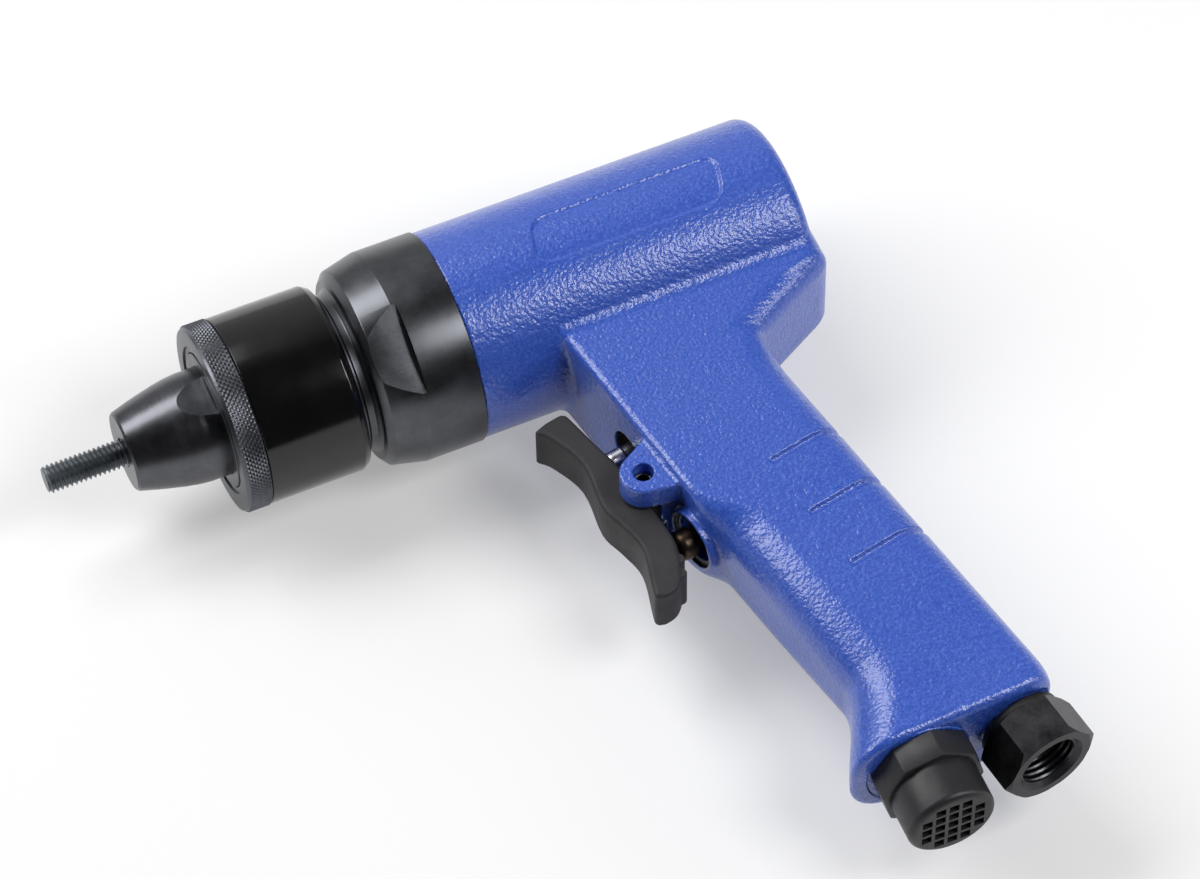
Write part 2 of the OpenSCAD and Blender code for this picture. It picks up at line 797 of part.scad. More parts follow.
module trigger() {
    bevel = 0.7;
    hub_r = 3.6;
    color("dimgray") grip_frame() difference() {
        union() {
            linear_extrude(2 * (trigger_half_w - bevel), center = true)
                polygon(trigger_outline(0));
            linear_extrude(2 * (trigger_half_w - bevel / 2), center = true)
                polygon(trigger_outline(0.25));
            linear_extrude(2 * trigger_half_w, center = true) polygon(trigger_outline(0.7));
            cylinder(h = 2 * trigger_half_w, r = hub_r, center = true);
            for (y = [-17.4, -20.8])
                translate([-4.1 + (y + 17.4) * 0.6, y, 0])
                    cylinder(h = 2 * trigger_half_w - 2, r = 0.9, center = true, $fn = 24);
        }
        cylinder(h = 30, r = trigger_pin_r + fit, center = true);
    }
}

module trigger_pin() {
    length = 2 * (ear_z + ear_t / 2);
    color("silver") grip_frame() cylinder(h = length, r = trigger_pin_r - 0.01, center = true);
}

// Valves: a stem with its seal, bush, spring and spring seat in each bore

module valve_frame(side) {
    grip_frame() translate([0, side * valve_offset, 0]) children();
}

module valve_stem(side, tip_x, tip_r) {
    groove_r = seal_ring_r - seal_wire_r - 0.01;
    valve_frame(side) along_x(0) rotate_extrude() polygon([
        [0, tip_x],
        [tip_r * 0.55, tip_x + 0.15],
        [tip_r * 0.88, tip_x + 0.6],
        [tip_r, tip_x + 1.3],
        [tip_r, tip_x + 3.6],
        [stem_r, tip_x + 4.2],
        [stem_r, stem_head_x],
        [stem_head_r, stem_head_x],
        [stem_head_r, seal_x - groove_half],
        [groove_r, seal_x - groove_half],
        [groove_r, seal_x + groove_half],
        [stem_head_r, seal_x + groove_half],
        [stem_head_r, stem_head_x + stem_head_len],
        [stem_r, stem_head_x + stem_head_len],
        [stem_r, seat_x - 2.4],
        [0, seat_x - 2.4]
    ]);
}

// The bush guides the stem at its front and seals the stem's head in its rear land
module valve_bush(side) {
    valve_frame(side) along_x(bush_x) difference() {
        tube(bush_len, valve_bore_r - 0.01, stem_r + fit);
        translate([0, 0, -eps]) cylinder(h = 1.4, r1 = 3.6, r2 = 2.2);
        translate([0, 0, guide_len]) cylinder(h = bush_len, r = land_r);
    }
}

module valve_seal(side) {
    valve_frame(side) along_x(seal_x) round_ring(seal_ring_r, seal_wire_r);
}

module spring_seat(side) {
    valve_frame(side) along_x(seat_x) difference() {
        tube(1.3, valve_bore_r - 0.01, 2.3);
        for (k = [0 : 5])
            rotate([0, 0, 60 * k]) translate([3.65, 0, -eps]) cylinder(h = 3, r = 0.7, $fn = 16);
    }
}

// A round wire swept along a helix, with flat closed ends
module coil_spring(length, coil_r, wire_r, turns) {
    sides = 6;
    steps = 12;
    n = turns * steps;
    rise = length - 2 * wire_r;
    points = [for (i = [0 : n], k = [0 : sides - 1])
        let (a = 360 * i / steps, b = 360 * k / sides, r = coil_r + wire_r * cos(b))
        [r * cos(a), r * sin(a), wire_r + rise * i / n + wire_r * sin(b)]];
    faces = concat(
        [[for (k = [sides - 1 : -1 : 0]) k]],
        [for (i = [0 : n - 1], k = [0 : sides - 1])
            let (a = i * sides + k, b = i * sides + (k + 1) % sides)
            each [[a, b + sides, a + sides], [a, b, b + sides]]],
        [[for (k = [0 : sides - 1]) n * sides + k]]);
    polyhedron(points = points, faces = faces);
}

module valve_spring(side) {
    valve_frame(side) along_x(stem_head_x + stem_head_len + 0.05)
        coil_spring(spring_len - 0.1, 3.1, 0.4, 4);
}

module forward_valve_stem() { color("silver") valve_stem(1, forward_tip_x, 2.3); }
module reverse_valve_stem() { color("peru") valve_stem(-1, reverse_tip_x, 3.2); }
module forward_valve_seal() { color("black") valve_seal(1); }
module reverse_valve_seal() { color("black") valve_seal(-1); }
module forward_valve_bush() { color("goldenrod") valve_bush(1); }
module reverse_valve_bush() { color("goldenrod") valve_bush(-1); }
module forward_valve_spring() { color("silver") valve_spring(1); }
module reverse_valve_spring() { color("silver") valve_spring(-1); }
module forward_spring_seat() { color("goldenrod") spring_seat(1); }
module reverse_spring_seat() { color("goldenrod") spring_seat(-1); }

// Air inlet: a hexagonal bushing with its sealing washer and screen

module inlet_bushing() {
    hex_r = inlet_flats / 2 / cos(30);
    hex_len = 9.7;
    color("black") on_base(inlet_at, inlet_lean) difference() {
        union() {
            translate([0, 0, 1.1]) intersection() {
                rotate(8) cylinder(h = hex_len, r = hex_r, $fn = 6);
                rotate_extrude() polygon([
                    [0, 0],
                    [9.3, 0],
                    [hex_r + 0.1, 0.8],
                    [hex_r + 0.1, hex_len - 0.7],
                    [9.4, hex_len],
                    [0, hex_len]
                ]);
            }
            translate([0, 0, -12.8]) cylinder(h = 15, r = inlet_male_r - 0.02);
        }
        translate([0, 0, inlet_hole_z]) cylinder(h = 20, r = inlet_hole_r);
        translate([0, 0, -14]) cylinder(h = 20, r = 4.4);
        translate([0, 0, hex_len + 1.1 - 1.2]) cylinder(h = 1.3, r1 = inlet_hole_r, r2 = 7.2);
    }
}

module inlet_washer() {
    color("black") on_base(inlet_at, inlet_lean) translate([0, 0, inlet_face_z + 0.05])
        tube(1.8, 8.6, 6.9);
}

module inlet_screen() {
    color("silver") on_base(inlet_at, inlet_lean) translate([0, 0, inlet_hole_z - 1]) difference() {
        cylinder(h = 0.6, r = 4.39);
        for (x = [-3 : 1.5 : 3], y = [-3 : 1.5 : 3])
            translate([x - 0.5, y - 0.5, -eps]) cube([1, 1, 2]);
    }
}

// Silencer: a hollow cup with an octagonal flange and a grid of square exhaust holes
module silencer() {
    oct_r = silencer_flats / 2 / cos(22.5);
    flange_z = silencer_face_z + 0.05;
    flange_end = 4.65;
    length = 13.7;
    edge = 1.4;
    pitch = 2.75;
    hole = 2.05;
    color("black") on_base(silencer_at, silencer_lean) difference() {
        union() {
            translate([0, 0, flange_z]) rotate(-9)
                cylinder(h = flange_end - flange_z, r = oct_r, $fn = 8);
            rotate_extrude() polygon(concat(
                [[0, -9], [8.15, -9], [8.15, flange_z], [silencer_r, flange_z]],
                [for (a = [0 : 15 : 90])
                    [silencer_r - edge + edge * cos(a), length - edge + edge * sin(a)]],
                [[0, length]]));
        }
        translate([0, 0, -10]) cylinder(h = length + 10 - 1.8, r = 6.9);
        for (x = [-2 : 2], y = [-2 : 2])
            if (norm([x, y]) < 2.6)
                translate([x * pitch - hole / 2, y * pitch - hole / 2, length - 3])
                    cube([hole, hole, 5]);
    }
}

module silencer_felt() {
    color("gray") on_base(silencer_at, silencer_lean) translate([0, 0, 3.8])
        cylinder(h = 8, r = 6.85);
}

housing();
front_collar();
collar_seal();
adjusting_sleeve();
lock_ring();
nose_circlip();
nose_holder();
nosepiece();
guide_pin();
mandrel();
mandrel_chuck();
drive_spindle();
spindle_bearing();
thrust_bearing();
ring_gear();
planet_gear_1();
planet_gear_2();
planet_gear_3();
planet_pins();
rotor();
rotor_vanes();
motor_cylinder();
front_end_plate();
rear_end_plate();
front_rotor_bearing();
rear_rotor_bearing();
alignment_pin();
rear_gasket();
trigger();
trigger_pin();
forward_valve_stem();
reverse_valve_stem();
forward_valve_seal();
reverse_valve_seal();
forward_valve_bush();
reverse_valve_bush();
forward_valve_spring();
reverse_valve_spring();
forward_spring_seat();
reverse_spring_seat();
inlet_bushing();
inlet_washer();
inlet_screen();
silencer();
silencer_felt();
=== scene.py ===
"""Looks of the air rivet-nut tool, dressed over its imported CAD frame.

Shapes are worked out in millimetres in the tool's own frame (the barrel is the X axis, the grip
hangs along -Y, the left side is +Z) and turned into metres when a mesh is made.
"""

from collections import namedtuple
import json
import math

import bmesh
import bpy
import numpy as np
from mathutils import Matrix


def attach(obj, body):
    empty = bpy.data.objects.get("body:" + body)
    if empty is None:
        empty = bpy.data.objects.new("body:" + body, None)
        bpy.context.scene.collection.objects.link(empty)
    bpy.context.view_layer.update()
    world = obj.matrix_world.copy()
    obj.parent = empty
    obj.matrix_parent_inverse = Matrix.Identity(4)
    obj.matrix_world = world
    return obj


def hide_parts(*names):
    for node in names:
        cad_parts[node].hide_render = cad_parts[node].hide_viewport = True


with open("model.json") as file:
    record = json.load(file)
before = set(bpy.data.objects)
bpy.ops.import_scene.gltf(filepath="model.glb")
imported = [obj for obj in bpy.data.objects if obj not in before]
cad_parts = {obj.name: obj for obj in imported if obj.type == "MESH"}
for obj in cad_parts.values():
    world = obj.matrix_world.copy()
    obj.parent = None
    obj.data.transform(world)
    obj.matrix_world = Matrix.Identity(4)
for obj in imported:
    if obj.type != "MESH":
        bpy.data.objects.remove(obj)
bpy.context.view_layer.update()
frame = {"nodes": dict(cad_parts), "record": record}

MM = 0.001

# Barrel, in millimetres
BARREL_R = 22.1
SEAM_X = 70.0
REAR_X = 145.0
REAR_ROUND = 3.5
SEAM_ROUND = 0.3
BORE_R = 19.5
BORE_END = 138.6

# Grip
LEAN = math.radians(11)
PIVOT = (89.9, -54.8)
FACE_GAP = 4.5
FACE_TAPER = 0.0255
FACE_STEP = 1.3
FACE_STEP_Y = -67.0
FACE_STEP_RUN = 7.0
GRIP_BACK = 39.1
GRIP_TOP_Y = -9.0
FLANK_HALF_W = 13.3
FLANK_END_Y = -80.0
FLANK_RUN = 20.0
GRIP_HALF_W = 12.9
BASE_HALF_W = 11.3
BASE_Y = -130.9
BASE_SLOPE = math.radians(1.3)
BASE_EDGE = 2.0
LOWER_Y = -85.0
LOWER_RUN = 45.0
HEEL_FLARE = 11.3
HEEL_TOP_Y = -112.0
HEEL_RUN = 20.0
TAIL_ROUND = 3.5
TAIL_TOP_Y = -122.0
TAIL_RUN = 10.0
OVERHANG_X = REAR_X + 1.2
OVERHANG_Y = -21.3
OVERHANG_ROUND = 1.8
OVERHANG_SLOPE = math.radians(28)
OVERHANG_FILLET = 2.4
ROOT_FILLET = 1.4

# A corner's radius: at the flank, what it gains below it, what it gains towards the heel, and
# where the first gain starts and over what height
FRONT_CORNER = (1.5, 7.0, 0.5, -62.0, 14.0)
BACK_CORNER = (5.5, 2.5, -2.0, -33.0, 10.0)

# Soft grooves: height along the grip and depth behind the pivot where each starts
GROOVES = ((-13.2, 21.0), (-27.4, 20.3), (-41.6, 19.9))
GROOVE_HALF_W = 0.95
GROOVE_FLOOR = 0.15
GROOVE_DEPTH = 0.75
GROOVE_RUN = 1.2

# Trigger, its ears and the valves
EAR_R = 4.8
EAR_Z = (6.0, 12.0)
EAR_ROOT = (FACE_GAP + 1, 6.9)
EAR_BACK = 9.0
EAR_EDGE = 0.5
EAR_FILLET = 0.7
EAR_SLOT_R = 4.1
PIN_HOLE_R = 2.1
PIN_HOLE_HALF = 20.0
VALVE_OFFSET = 12.2
VALVE_BORE_R = 5.0
VALVE_BORE_X = (1.0, 30.0)
LOWER_BOSS_R = 7.0
LOWER_BOSS_X = (2.8, 7.2)
LOWER_BOSS_FILLET = 0.6
LOWER_MOUTH_R = 6.1
LOWER_MOUTH_END = 3.7
TRIGGER_HALF_W = 5.5
TRIGGER_EDGE = 0.9
TRIGGER_BORE_R = 2.13
HUB_R = 3.6
RIBS = ((-3.3, -17.0), (-4.9, -20.0))
RIB_R = 1.1
RIB_HALF_W = 5.1

# Front collar: its radius, and its two wrench flats
COLLAR_R = 22.499
COLLAR_FLAT = 20.4
COLLAR_TURN = math.radians(34)

# Label panel on the left flank
PANEL_X = (90.0, 131.0)
PANEL_Y = (-6.0, 5.0)
PANEL_DEPTH = 0.5
PANEL_ROUND = 3.5
PANEL_SLANT = 1.4
PANEL_EDGE_W = 0.9

# Fittings: place on the base, lean, where each seats along its own axis, and the radii of its
# foot, its bore and the face it seats on
Fitting = namedtuple("Fitting", "place lean seat foot_r bore_r face_r")
INLET = Fitting((135.5, -131.4), math.radians(8), -0.8, 7.6, 6.8, 9.2)
SILENCER = Fitting((114.3, -132.55), math.radians(-1.3), -1.45, 10.4, 8.2, 11.4)
FOOT_DEPTH = 5.0
SOCKET_DEPTH = 13.0
SEAT_GAP = 0.05

CUT_EDGE = 0.25
SKIN_PITCH = 0.62


# Distance fields, in millimetres

def smooth(t):
    t = np.clip(t, 0, 1)
    return t * t * (3 - 2 * t)


def round_meet(a, b, r):
    """Intersection of two solids with a rounded edge."""
    outside = np.hypot(np.maximum(a + r, 0), np.maximum(b + r, 0))
    return np.minimum(np.maximum(a, b) + r, 0) + outside - r


def round_join(a, b, r):
    """Union of two solids with a fillet of radius r."""
    inside = np.hypot(np.maximum(r - a, 0), np.maximum(r - b, 0))
    return np.maximum(r, np.minimum(a, b)) - inside


def cut(a, b, r):
    """Solid a less solid b, with an edge of radius r."""
    return round_meet(a, -b, r)


def between(v, ends):
    """Distance outside a span, less than zero inside it."""
    return np.abs(v - (ends[0] + ends[1]) / 2) - (ends[1] - ends[0]) / 2


def grip_frame(x, y):
    """Depth behind the trigger pivot, and height along the grip."""
    dx, dy = x - PIVOT[0], y - PIVOT[1]
    c, s = math.cos(LEAN), math.sin(LEAN)
    return dx * c + dy * s, dy * c - dx * s


def grip_line(depth, y):
    """X of a line along the grip, that far behind the pivot."""
    return PIVOT[0] + (depth - (y - PIVOT[1]) * math.sin(LEAN)) / math.cos(LEAN)


def flare(y):
    """How far the heel reaches forward of the grip's front."""
    t = np.clip((HEEL_TOP_Y - y) / HEEL_RUN, 0, 1)
    return HEEL_FLARE * (smooth(t) + t ** 1.5) / 2


def front_x(y):
    gap = (FACE_GAP + FACE_TAPER * (np.maximum(y, FACE_STEP_Y) - PIVOT[1])
           + FACE_STEP * smooth((FACE_STEP_Y - y) / FACE_STEP_RUN))
    return grip_line(gap, y) - flare(y)


def overhang_back(y):
    """Rear face under the barrel, which slopes in towards the grip."""
    t = OVERHANG_Y + OVERHANG_ROUND - y
    bend = np.where(t < 2 * OVERHANG_ROUND, t * t / (4 * OVERHANG_ROUND), t - OVERHANG_ROUND)
    return OVERHANG_X - np.where(t < 0, 0, bend) / math.tan(OVERHANG_SLOPE)


def back_x(y):
    tail = TAIL_ROUND * np.clip((TAIL_TOP_Y - y) / TAIL_RUN, 0, 1) ** 3
    a, b = grip_line(GRIP_BACK, y) - tail, overhang_back(y)
    return (a + b + np.hypot(a - b, OVERHANG_FILLET)) / 2


def half_width(y):
    lower = (GRIP_HALF_W - BASE_HALF_W) * smooth((y - BASE_Y) / (LOWER_Y - BASE_Y))
    upper = (FLANK_HALF_W - GRIP_HALF_W) * smooth((y - FLANK_END_Y) / FLANK_RUN)
    return BASE_HALF_W + lower + upper


def corner_round(y, corner):
    flank, below, heel, start, run = corner
    return flank + below * smooth((start - y) / run) + heel * smooth((LOWER_Y - y) / LOWER_RUN)


def steepness(line, y, step=0.05):
    """Length of a line's slope, which turns a distance along X into one across the line."""
    return np.hypot(1, (line(y + step) - line(y - step)) / (2 * step))


def grip_solid(x, y, z):
    x0, x1 = front_x(y), back_x(y)
    middle = (x0 + x1) / 2
    rear = x > middle
    r = np.where(rear, corner_round(y, BACK_CORNER), corner_round(y, FRONT_CORNER))
    off = np.where(rear, (x - x1) / steepness(back_x, y), (x0 - x) / steepness(front_x, y))
    section = round_meet(off, np.abs(z) - half_width(y), r)
    fall = math.tan(BASE_SLOPE) * (x - middle) * smooth((HEEL_TOP_Y - y) / HEEL_RUN)
    return np.maximum(round_meet(section, BASE_Y - y + fall, BASE_EDGE), y - GRIP_TOP_Y)


def ear_solid(gx, gs, z):
    """Two lugs: a round nose and a root, with straight sides that touch the nose."""
    root_x, root_s = EAR_ROOT
    touch = math.atan2(root_s, root_x) + math.acos(EAR_R / math.hypot(root_x, root_s))
    side = gx * math.cos(touch) + np.abs(gs) * math.sin(touch) - EAR_R
    across = EAR_R * math.cos(touch)
    root = np.maximum(np.abs(gs) - root_s, gx - EAR_BACK)
    plate = np.maximum(np.maximum(side, across - gx), root)
    outline = np.minimum(plate, np.hypot(gx, gs) - EAR_R)
    return round_meet(outline, between(np.abs(z), EAR_Z), EAR_EDGE)


def panel_edge(x, y):
    """Distance to the slanted outline of the label panel."""
    slant = PANEL_SLANT * 2 / (PANEL_Y[1] - PANEL_Y[0])
    ends = between(x - slant * (y - sum(PANEL_Y) / 2), PANEL_X)
    return round_meet(ends, between(y, PANEL_Y), PANEL_ROUND)


def fitting_axis(x, y, fitting):
    """Distance out of the base along a fitting's axis, and across it."""
    dx, dy = x - fitting.place[0], y - fitting.place[1]
    c, s = math.cos(fitting.lean), math.sin(fitting.lean)
    return dx * s - dy * c, dx * c + dy * s


def groove_sink(gx, gs):
    """How deep the three soft finger grooves lie below the grip's surface."""
    sunk = 0
    for middle, start in GROOVES:
        along = smooth((gx - start) / GROOVE_RUN)
        across = smooth(1 + GROOVE_FLOOR - np.abs(gs - middle) / GROOVE_HALF_W)
        sunk = sunk + GROOVE_DEPTH * along * across
    return sunk


def housing_solid(x, y, z):
    gx, gs = grip_frame(x, y)
    radius = np.hypot(y, z)
    sunk = PANEL_DEPTH * smooth(0.5 - panel_edge(x, y) / PANEL_EDGE_W) * (z > 0)
    barrel = round_meet(radius - BARREL_R + sunk, x - REAR_X, REAR_ROUND)
    barrel = round_meet(barrel, SEAM_X - x, SEAM_ROUND)
    grip = grip_solid(x, y, z) + groove_sink(gx, gs)
    solid = round_join(barrel, grip, ROOT_FILLET)
    solid = round_join(solid, ear_solid(gx, gs, z), EAR_FILLET)
    boss = np.maximum(np.hypot(gs + VALVE_OFFSET, z) - LOWER_BOSS_R, between(gx, LOWER_BOSS_X))
    solid = round_join(solid, boss, LOWER_BOSS_FILLET)
    for fitting in (INLET, SILENCER):
        out, over = fitting_axis(x, y, fitting)
        ends = np.maximum(out - fitting.seat, -out - FOOT_DEPTH)
        foot = np.maximum(np.hypot(over, z) - fitting.foot_r, ends)
        solid = np.minimum(solid, foot)
    return solid


def housing_cuts(x, y, z):
    """Motor bore, upper and lower valve bore, pin hole, the trigger's slot, the lower valve's
    mouth, and for the inlet and then the silencer a bore and the face it seats on."""
    gx, gs = grip_frame(x, y)
    pin = np.hypot(gx, gs)
    cuts = [np.maximum(np.hypot(y, z) - BORE_R, x - BORE_END)]
    for s in (VALVE_OFFSET, -VALVE_OFFSET):
        cuts.append(np.maximum(np.hypot(gs - s, z) - VALVE_BORE_R, between(gx, VALVE_BORE_X)))
    cuts.append(np.maximum(pin - PIN_HOLE_R, np.abs(z) - PIN_HOLE_HALF))
    cuts.append(np.maximum(pin - EAR_SLOT_R, np.abs(z) - EAR_Z[0]))
    cuts.append(np.maximum(np.hypot(gs + VALVE_OFFSET, z) - LOWER_MOUTH_R, gx - LOWER_MOUTH_END))
    for fitting in (INLET, SILENCER):
        out, over = fitting_axis(x, y, fitting)
        across = np.hypot(over, z)
        cuts.append(np.maximum(across - fitting.bore_r, -out - SOCKET_DEPTH))
        cuts.append(np.maximum(across - fitting.face_r, fitting.seat - out))
    return cuts


def housing_field(x, y, z):
    solid = housing_solid(x, y, z)
    for hole in housing_cuts(x, y, z):
        solid = cut(solid, hole, CUT_EDGE)
    return solid


# Mesh from a distance field

# Corners of a grid cell that an edge joins: their numbers differ in one binary digit
EDGES = [(a, b) for a in range(8) for b in range(a + 1, 8) if bin(a ^ b).count("1") == 1]
SLAB = 12


def corner_offset(c):
    return c >> 2 & 1, c >> 1 & 1, c & 1


def surface_nets(field, origin, pitch):
    """Vertices and quads of the surface where the field is zero."""
    inside = field < 0
    shape = [n - 1 for n in field.shape]
    parts = [tuple(slice(o, o + n) for o, n in zip(corner_offset(c), shape))
             for c in range(8)]
    count = sum(inside[p].astype(np.int8) for p in parts)
    cells = np.argwhere((count > 0) & (count < 8))
    number = np.full(shape, -1, dtype=np.int64)
    number[tuple(cells.T)] = np.arange(len(cells))
    values = np.stack([field[p][tuple(cells.T)] for p in parts], axis=1)
    total, hits = np.zeros((len(cells), 3)), np.zeros(len(cells))
    for a, b in EDGES:
        crossed = (values[:, a] < 0) != (values[:, b] < 0)
        t = values[crossed, a] / (values[crossed, a] - values[crossed, b])
        pa, pb = np.array(corner_offset(a), float), np.array(corner_offset(b), float)
        total[crossed] += pa + t[:, None] * (pb - pa)
        hits[crossed] += 1
    verts = origin + pitch * (cells + total / hits[:, None])
    quads = []
    for axis in range(3):
        u, v = [k for k in range(3) if k != axis]
        low = [slice(None)] * 3
        high = [slice(None)] * 3
        low[axis], high[axis] = slice(None, -1), slice(1, None)
        for s in (u, v):
            low[s] = high[s] = slice(1, -1)
        first, second = inside[tuple(low)], inside[tuple(high)]
        at = np.argwhere(first != second)
        grows = first[tuple(at.T)]
        at[:, u] += 1
        at[:, v] += 1
        ring = []
        for du, dv in ((-1, -1), (0, -1), (0, 0), (-1, 0)):
            q = at.copy()
            q[:, u] += du
            q[:, v] += dv
            ring.append(number[tuple(q.T)])
        quad = np.stack(ring, axis=1)
        flip = grows if axis == 1 else ~grows
        quad[flip] = quad[flip][:, ::-1]
        quads.append(quad)
    return verts, np.concatenate(quads)


def gradient(field, p, h=0.06):
    g = np.empty_like(p)
    for k in range(3):
        d = np.zeros(3)
        d[k] = h
        g[:, k] = (field(*(p + d).T) - field(*(p - d).T)) / (2 * h)
    return g


def settle(field, p, rounds=3, reach=0.45, least=0.2):
    """Moves points onto the surface along the field's gradient."""
    for _ in range(rounds):
        g = gradient(field, p)
        step = field(*p.T) / np.maximum((g * g).sum(1), least)
        p = p - np.clip(step, -reach, reach)[:, None] * g
    return p


def field_grid(field, low, high, pitch):
    """The field's values on a grid, worked out in slabs along X."""
    axes = [np.arange(a, b + pitch, pitch) for a, b in zip(low, high)]
    slabs = []
    for start in range(0, len(axes[0]), SLAB):
        x, y, z = np.meshgrid(axes[0][start:start + SLAB], *axes[1:], indexing="ij", sparse=True)
        shape = np.broadcast_shapes(x.shape, y.shape, z.shape)
        slabs.append(np.broadcast_to(field(x, y, z), shape))
    return np.concatenate(slabs)


def refine(bm, near):
    """Splits the faces whose middle is near a feature."""
    centres = np.array([f.calc_center_median() for f in bm.faces])
    chosen = near(centres)
    edges = {e for f, c in zip(bm.faces, chosen) if c for e in f.edges}
    bmesh.ops.subdivide_edges(bm, edges=list(edges), cuts=1, use_grid_fill=True)


def points_of(mesh):
    return np.array([v.co for v in mesh.vertices])


def place_object(name, data):
    obj = bpy.data.objects.new(name, data)
    bpy.context.scene.collection.objects.link(obj)
    return obj


def skin(name, field, low, high, pitch, finer=()):
    """A smooth mesh of a distance field, split finer where the named features are."""
    low = np.array(low, float)
    verts, quads = surface_nets(field_grid(field, low, high, pitch), low, pitch)
    verts = settle(field, verts)
    mesh = bpy.data.meshes.new(name)
    mesh.from_pydata(verts.tolist(), [], quads.tolist())
    for near in finer:
        bm = bmesh.new()
        bm.from_mesh(mesh)
        refine(bm, near)
        bm.to_mesh(mesh)
        bm.free()
        mesh.vertices.foreach_set("co", settle(field, points_of(mesh), 2).ravel())
    points = points_of(mesh)
    normals = gradient(field, points, 0.1)
    normals /= np.maximum(np.linalg.norm(normals, axis=1), 1e-6)[:, None]
    mesh.vertices.foreach_set("co", (points * MM).ravel())
    mesh.polygons.foreach_set("use_smooth", [True] * len(mesh.polygons))
    mesh.normals_split_custom_set_from_vertices(normals.tolist())
    mesh.update()
    return place_object(name, mesh)


# Meshes from profiles

ALONG_X = Matrix.Rotation(math.radians(90), 4, "Y")
GRIP_PLACE = Matrix.Translation((*PIVOT, 0)) @ Matrix.Rotation(LEAN, 4, "Z")


def base_place(fitting):
    """Frame of a fitting: Z points out of the base along its axis."""
    return (Matrix.Translation((*fitting.place, 0)) @ Matrix.Rotation(fitting.lean, 4, "Z")
            @ Matrix.Rotation(math.radians(90), 4, "X"))


def valve_place(side):
    """Frame of a valve: Z points into the grip along its bore."""
    return GRIP_PLACE @ Matrix.Translation((0, side * VALVE_OFFSET, 0)) @ ALONG_X


def add_mesh(name, bm):
    mesh = bpy.data.meshes.new(name)
    bm.to_mesh(mesh)
    bm.free()
    return place_object(name, mesh)


def shade(obj, angle):
    mesh = obj.data
    mesh.polygons.foreach_set("use_smooth", [True] * len(mesh.polygons))
    mesh.set_sharp_from_angle(angle=math.radians(angle))


def rounded(points, steps=4):
    """A closed outline from (u, v, radius) corners, each corner turned into a short arc."""
    out = []
    for k, point in enumerate(points):
        here = np.array(point[:2], float)
        radius = point[2] if len(point) > 2 else 0
        if not radius:
            out.append(tuple(here))
            continue
        before = np.array(points[k - 1][:2], float) - here
        after = np.array(points[(k + 1) % len(points)][:2], float) - here
        before /= np.linalg.norm(before)
        after /= np.linalg.norm(after)
        half = math.acos(np.clip(before @ after, -1, 1)) / 2
        reach = radius / math.tan(half)
        middle = (before + after) / np.linalg.norm(before + after)
        centre = here + middle * radius / math.sin(half)
        a, b = here + before * reach - centre, here + after * reach - centre
        for t in np.linspace(0, 1, steps + 1):
            turn = a * (1 - t) + b * t
            out.append(tuple(centre + turn / np.linalg.norm(turn) * radius))
    return out


def wall(bm, ring, after):
    """Faces between two rings of as many points each."""
    for k in range(len(ring)):
        j = (k + 1) % len(ring)
        bm.faces.new((ring[k], ring[j], after[j], after[k]))


def lathe(outline, columns=128):
    """A solid turned about Z from a closed outline of (radius, z) points."""
    bm = bmesh.new()
    turn = np.linspace(0, 2 * math.pi, columns, endpoint=False)
    rings = [[bm.verts.new((r * math.cos(a), r * math.sin(a), z)) for a in turn]
             for r, z in outline]
    for k, ring in enumerate(rings):
        after = (k + 1) % len(rings)
        if outline[k][0] or outline[after][0]:
            wall(bm, ring, rings[after])
    bmesh.ops.remove_doubles(bm, verts=bm.verts, dist=1e-5)
    bmesh.ops.recalc_face_normals(bm, faces=bm.faces)
    return bm


def prism(sides, flats, z0, z1, turn=0.0):
    """A regular prism along Z, given by the distance across its flats."""
    radius = flats / 2 / math.cos(math.pi / sides)
    turns = [turn + 2 * math.pi * k / sides for k in range(sides)]
    bm = bmesh.new()
    rings = [[bm.verts.new((radius * math.cos(a), radius * math.sin(a), z)) for a in turns]
             for z in (z0, z1)]
    bm.faces.new(rings[0][::-1])
    bm.faces.new(rings[1])
    wall(bm, *rings)
    return bm


def block(low, high, place=Matrix.Identity(4)):
    """A box between two corners."""
    bm = bmesh.new()
    bmesh.ops.create_cube(bm, size=1)
    low, high = np.array(low, float), np.array(high, float)
    size = Matrix.Diagonal((*(high - low), 1))
    bm.transform(place @ Matrix.Translation(((high + low) / 2).tolist()) @ size)
    return bm


def bake(obj):
    """Turns the modifiers' result into the mesh itself."""
    graph = bpy.context.evaluated_depsgraph_get()
    mesh = bpy.data.meshes.new_from_object(obj.evaluated_get(graph))
    obj.modifiers.clear()
    obj.data = mesh


def combine(obj, others, operation):
    """Joins, cuts or intersects an object with each of the other meshes."""
    for k, bm in enumerate(others):
        tool = add_mesh(f"tool_{k}", bm)
        step = obj.modifiers.new("step", "BOOLEAN")
        step.operation, step.solver, step.object = operation, "EXACT", tool
        bake(obj)
        bpy.data.objects.remove(tool)


def soften(obj, width, angle=30, segments=2):
    """Small round edges on every corner sharper than the angle."""
    bevel = obj.modifiers.new("edge", "BEVEL")
    bevel.width, bevel.segments, bevel.limit_method = width, segments, "ANGLE"
    bevel.angle_limit = math.radians(angle)
    bevel.use_clamp_overlap = True
    bake(obj)


PIECES = []


def hand_over(obj, body, slot, replaced, material=None):
    """Hangs a piece under its body's empty, hides the CAD node that it stands in for, and lists it
    to take its material, or else its slot's.
    """
    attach(obj, body)
    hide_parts(replaced)
    PIECES.append((obj, material or slot))


def seat(obj, place, body, slot, replaced, angle=32, material=None):
    """Puts a piece made in millimetres in its place and hands it over."""
    obj.data.transform(Matrix.Scale(MM, 4) @ place)
    obj.data.update()
    shade(obj, angle)
    hand_over(obj, body, slot, replaced, material)


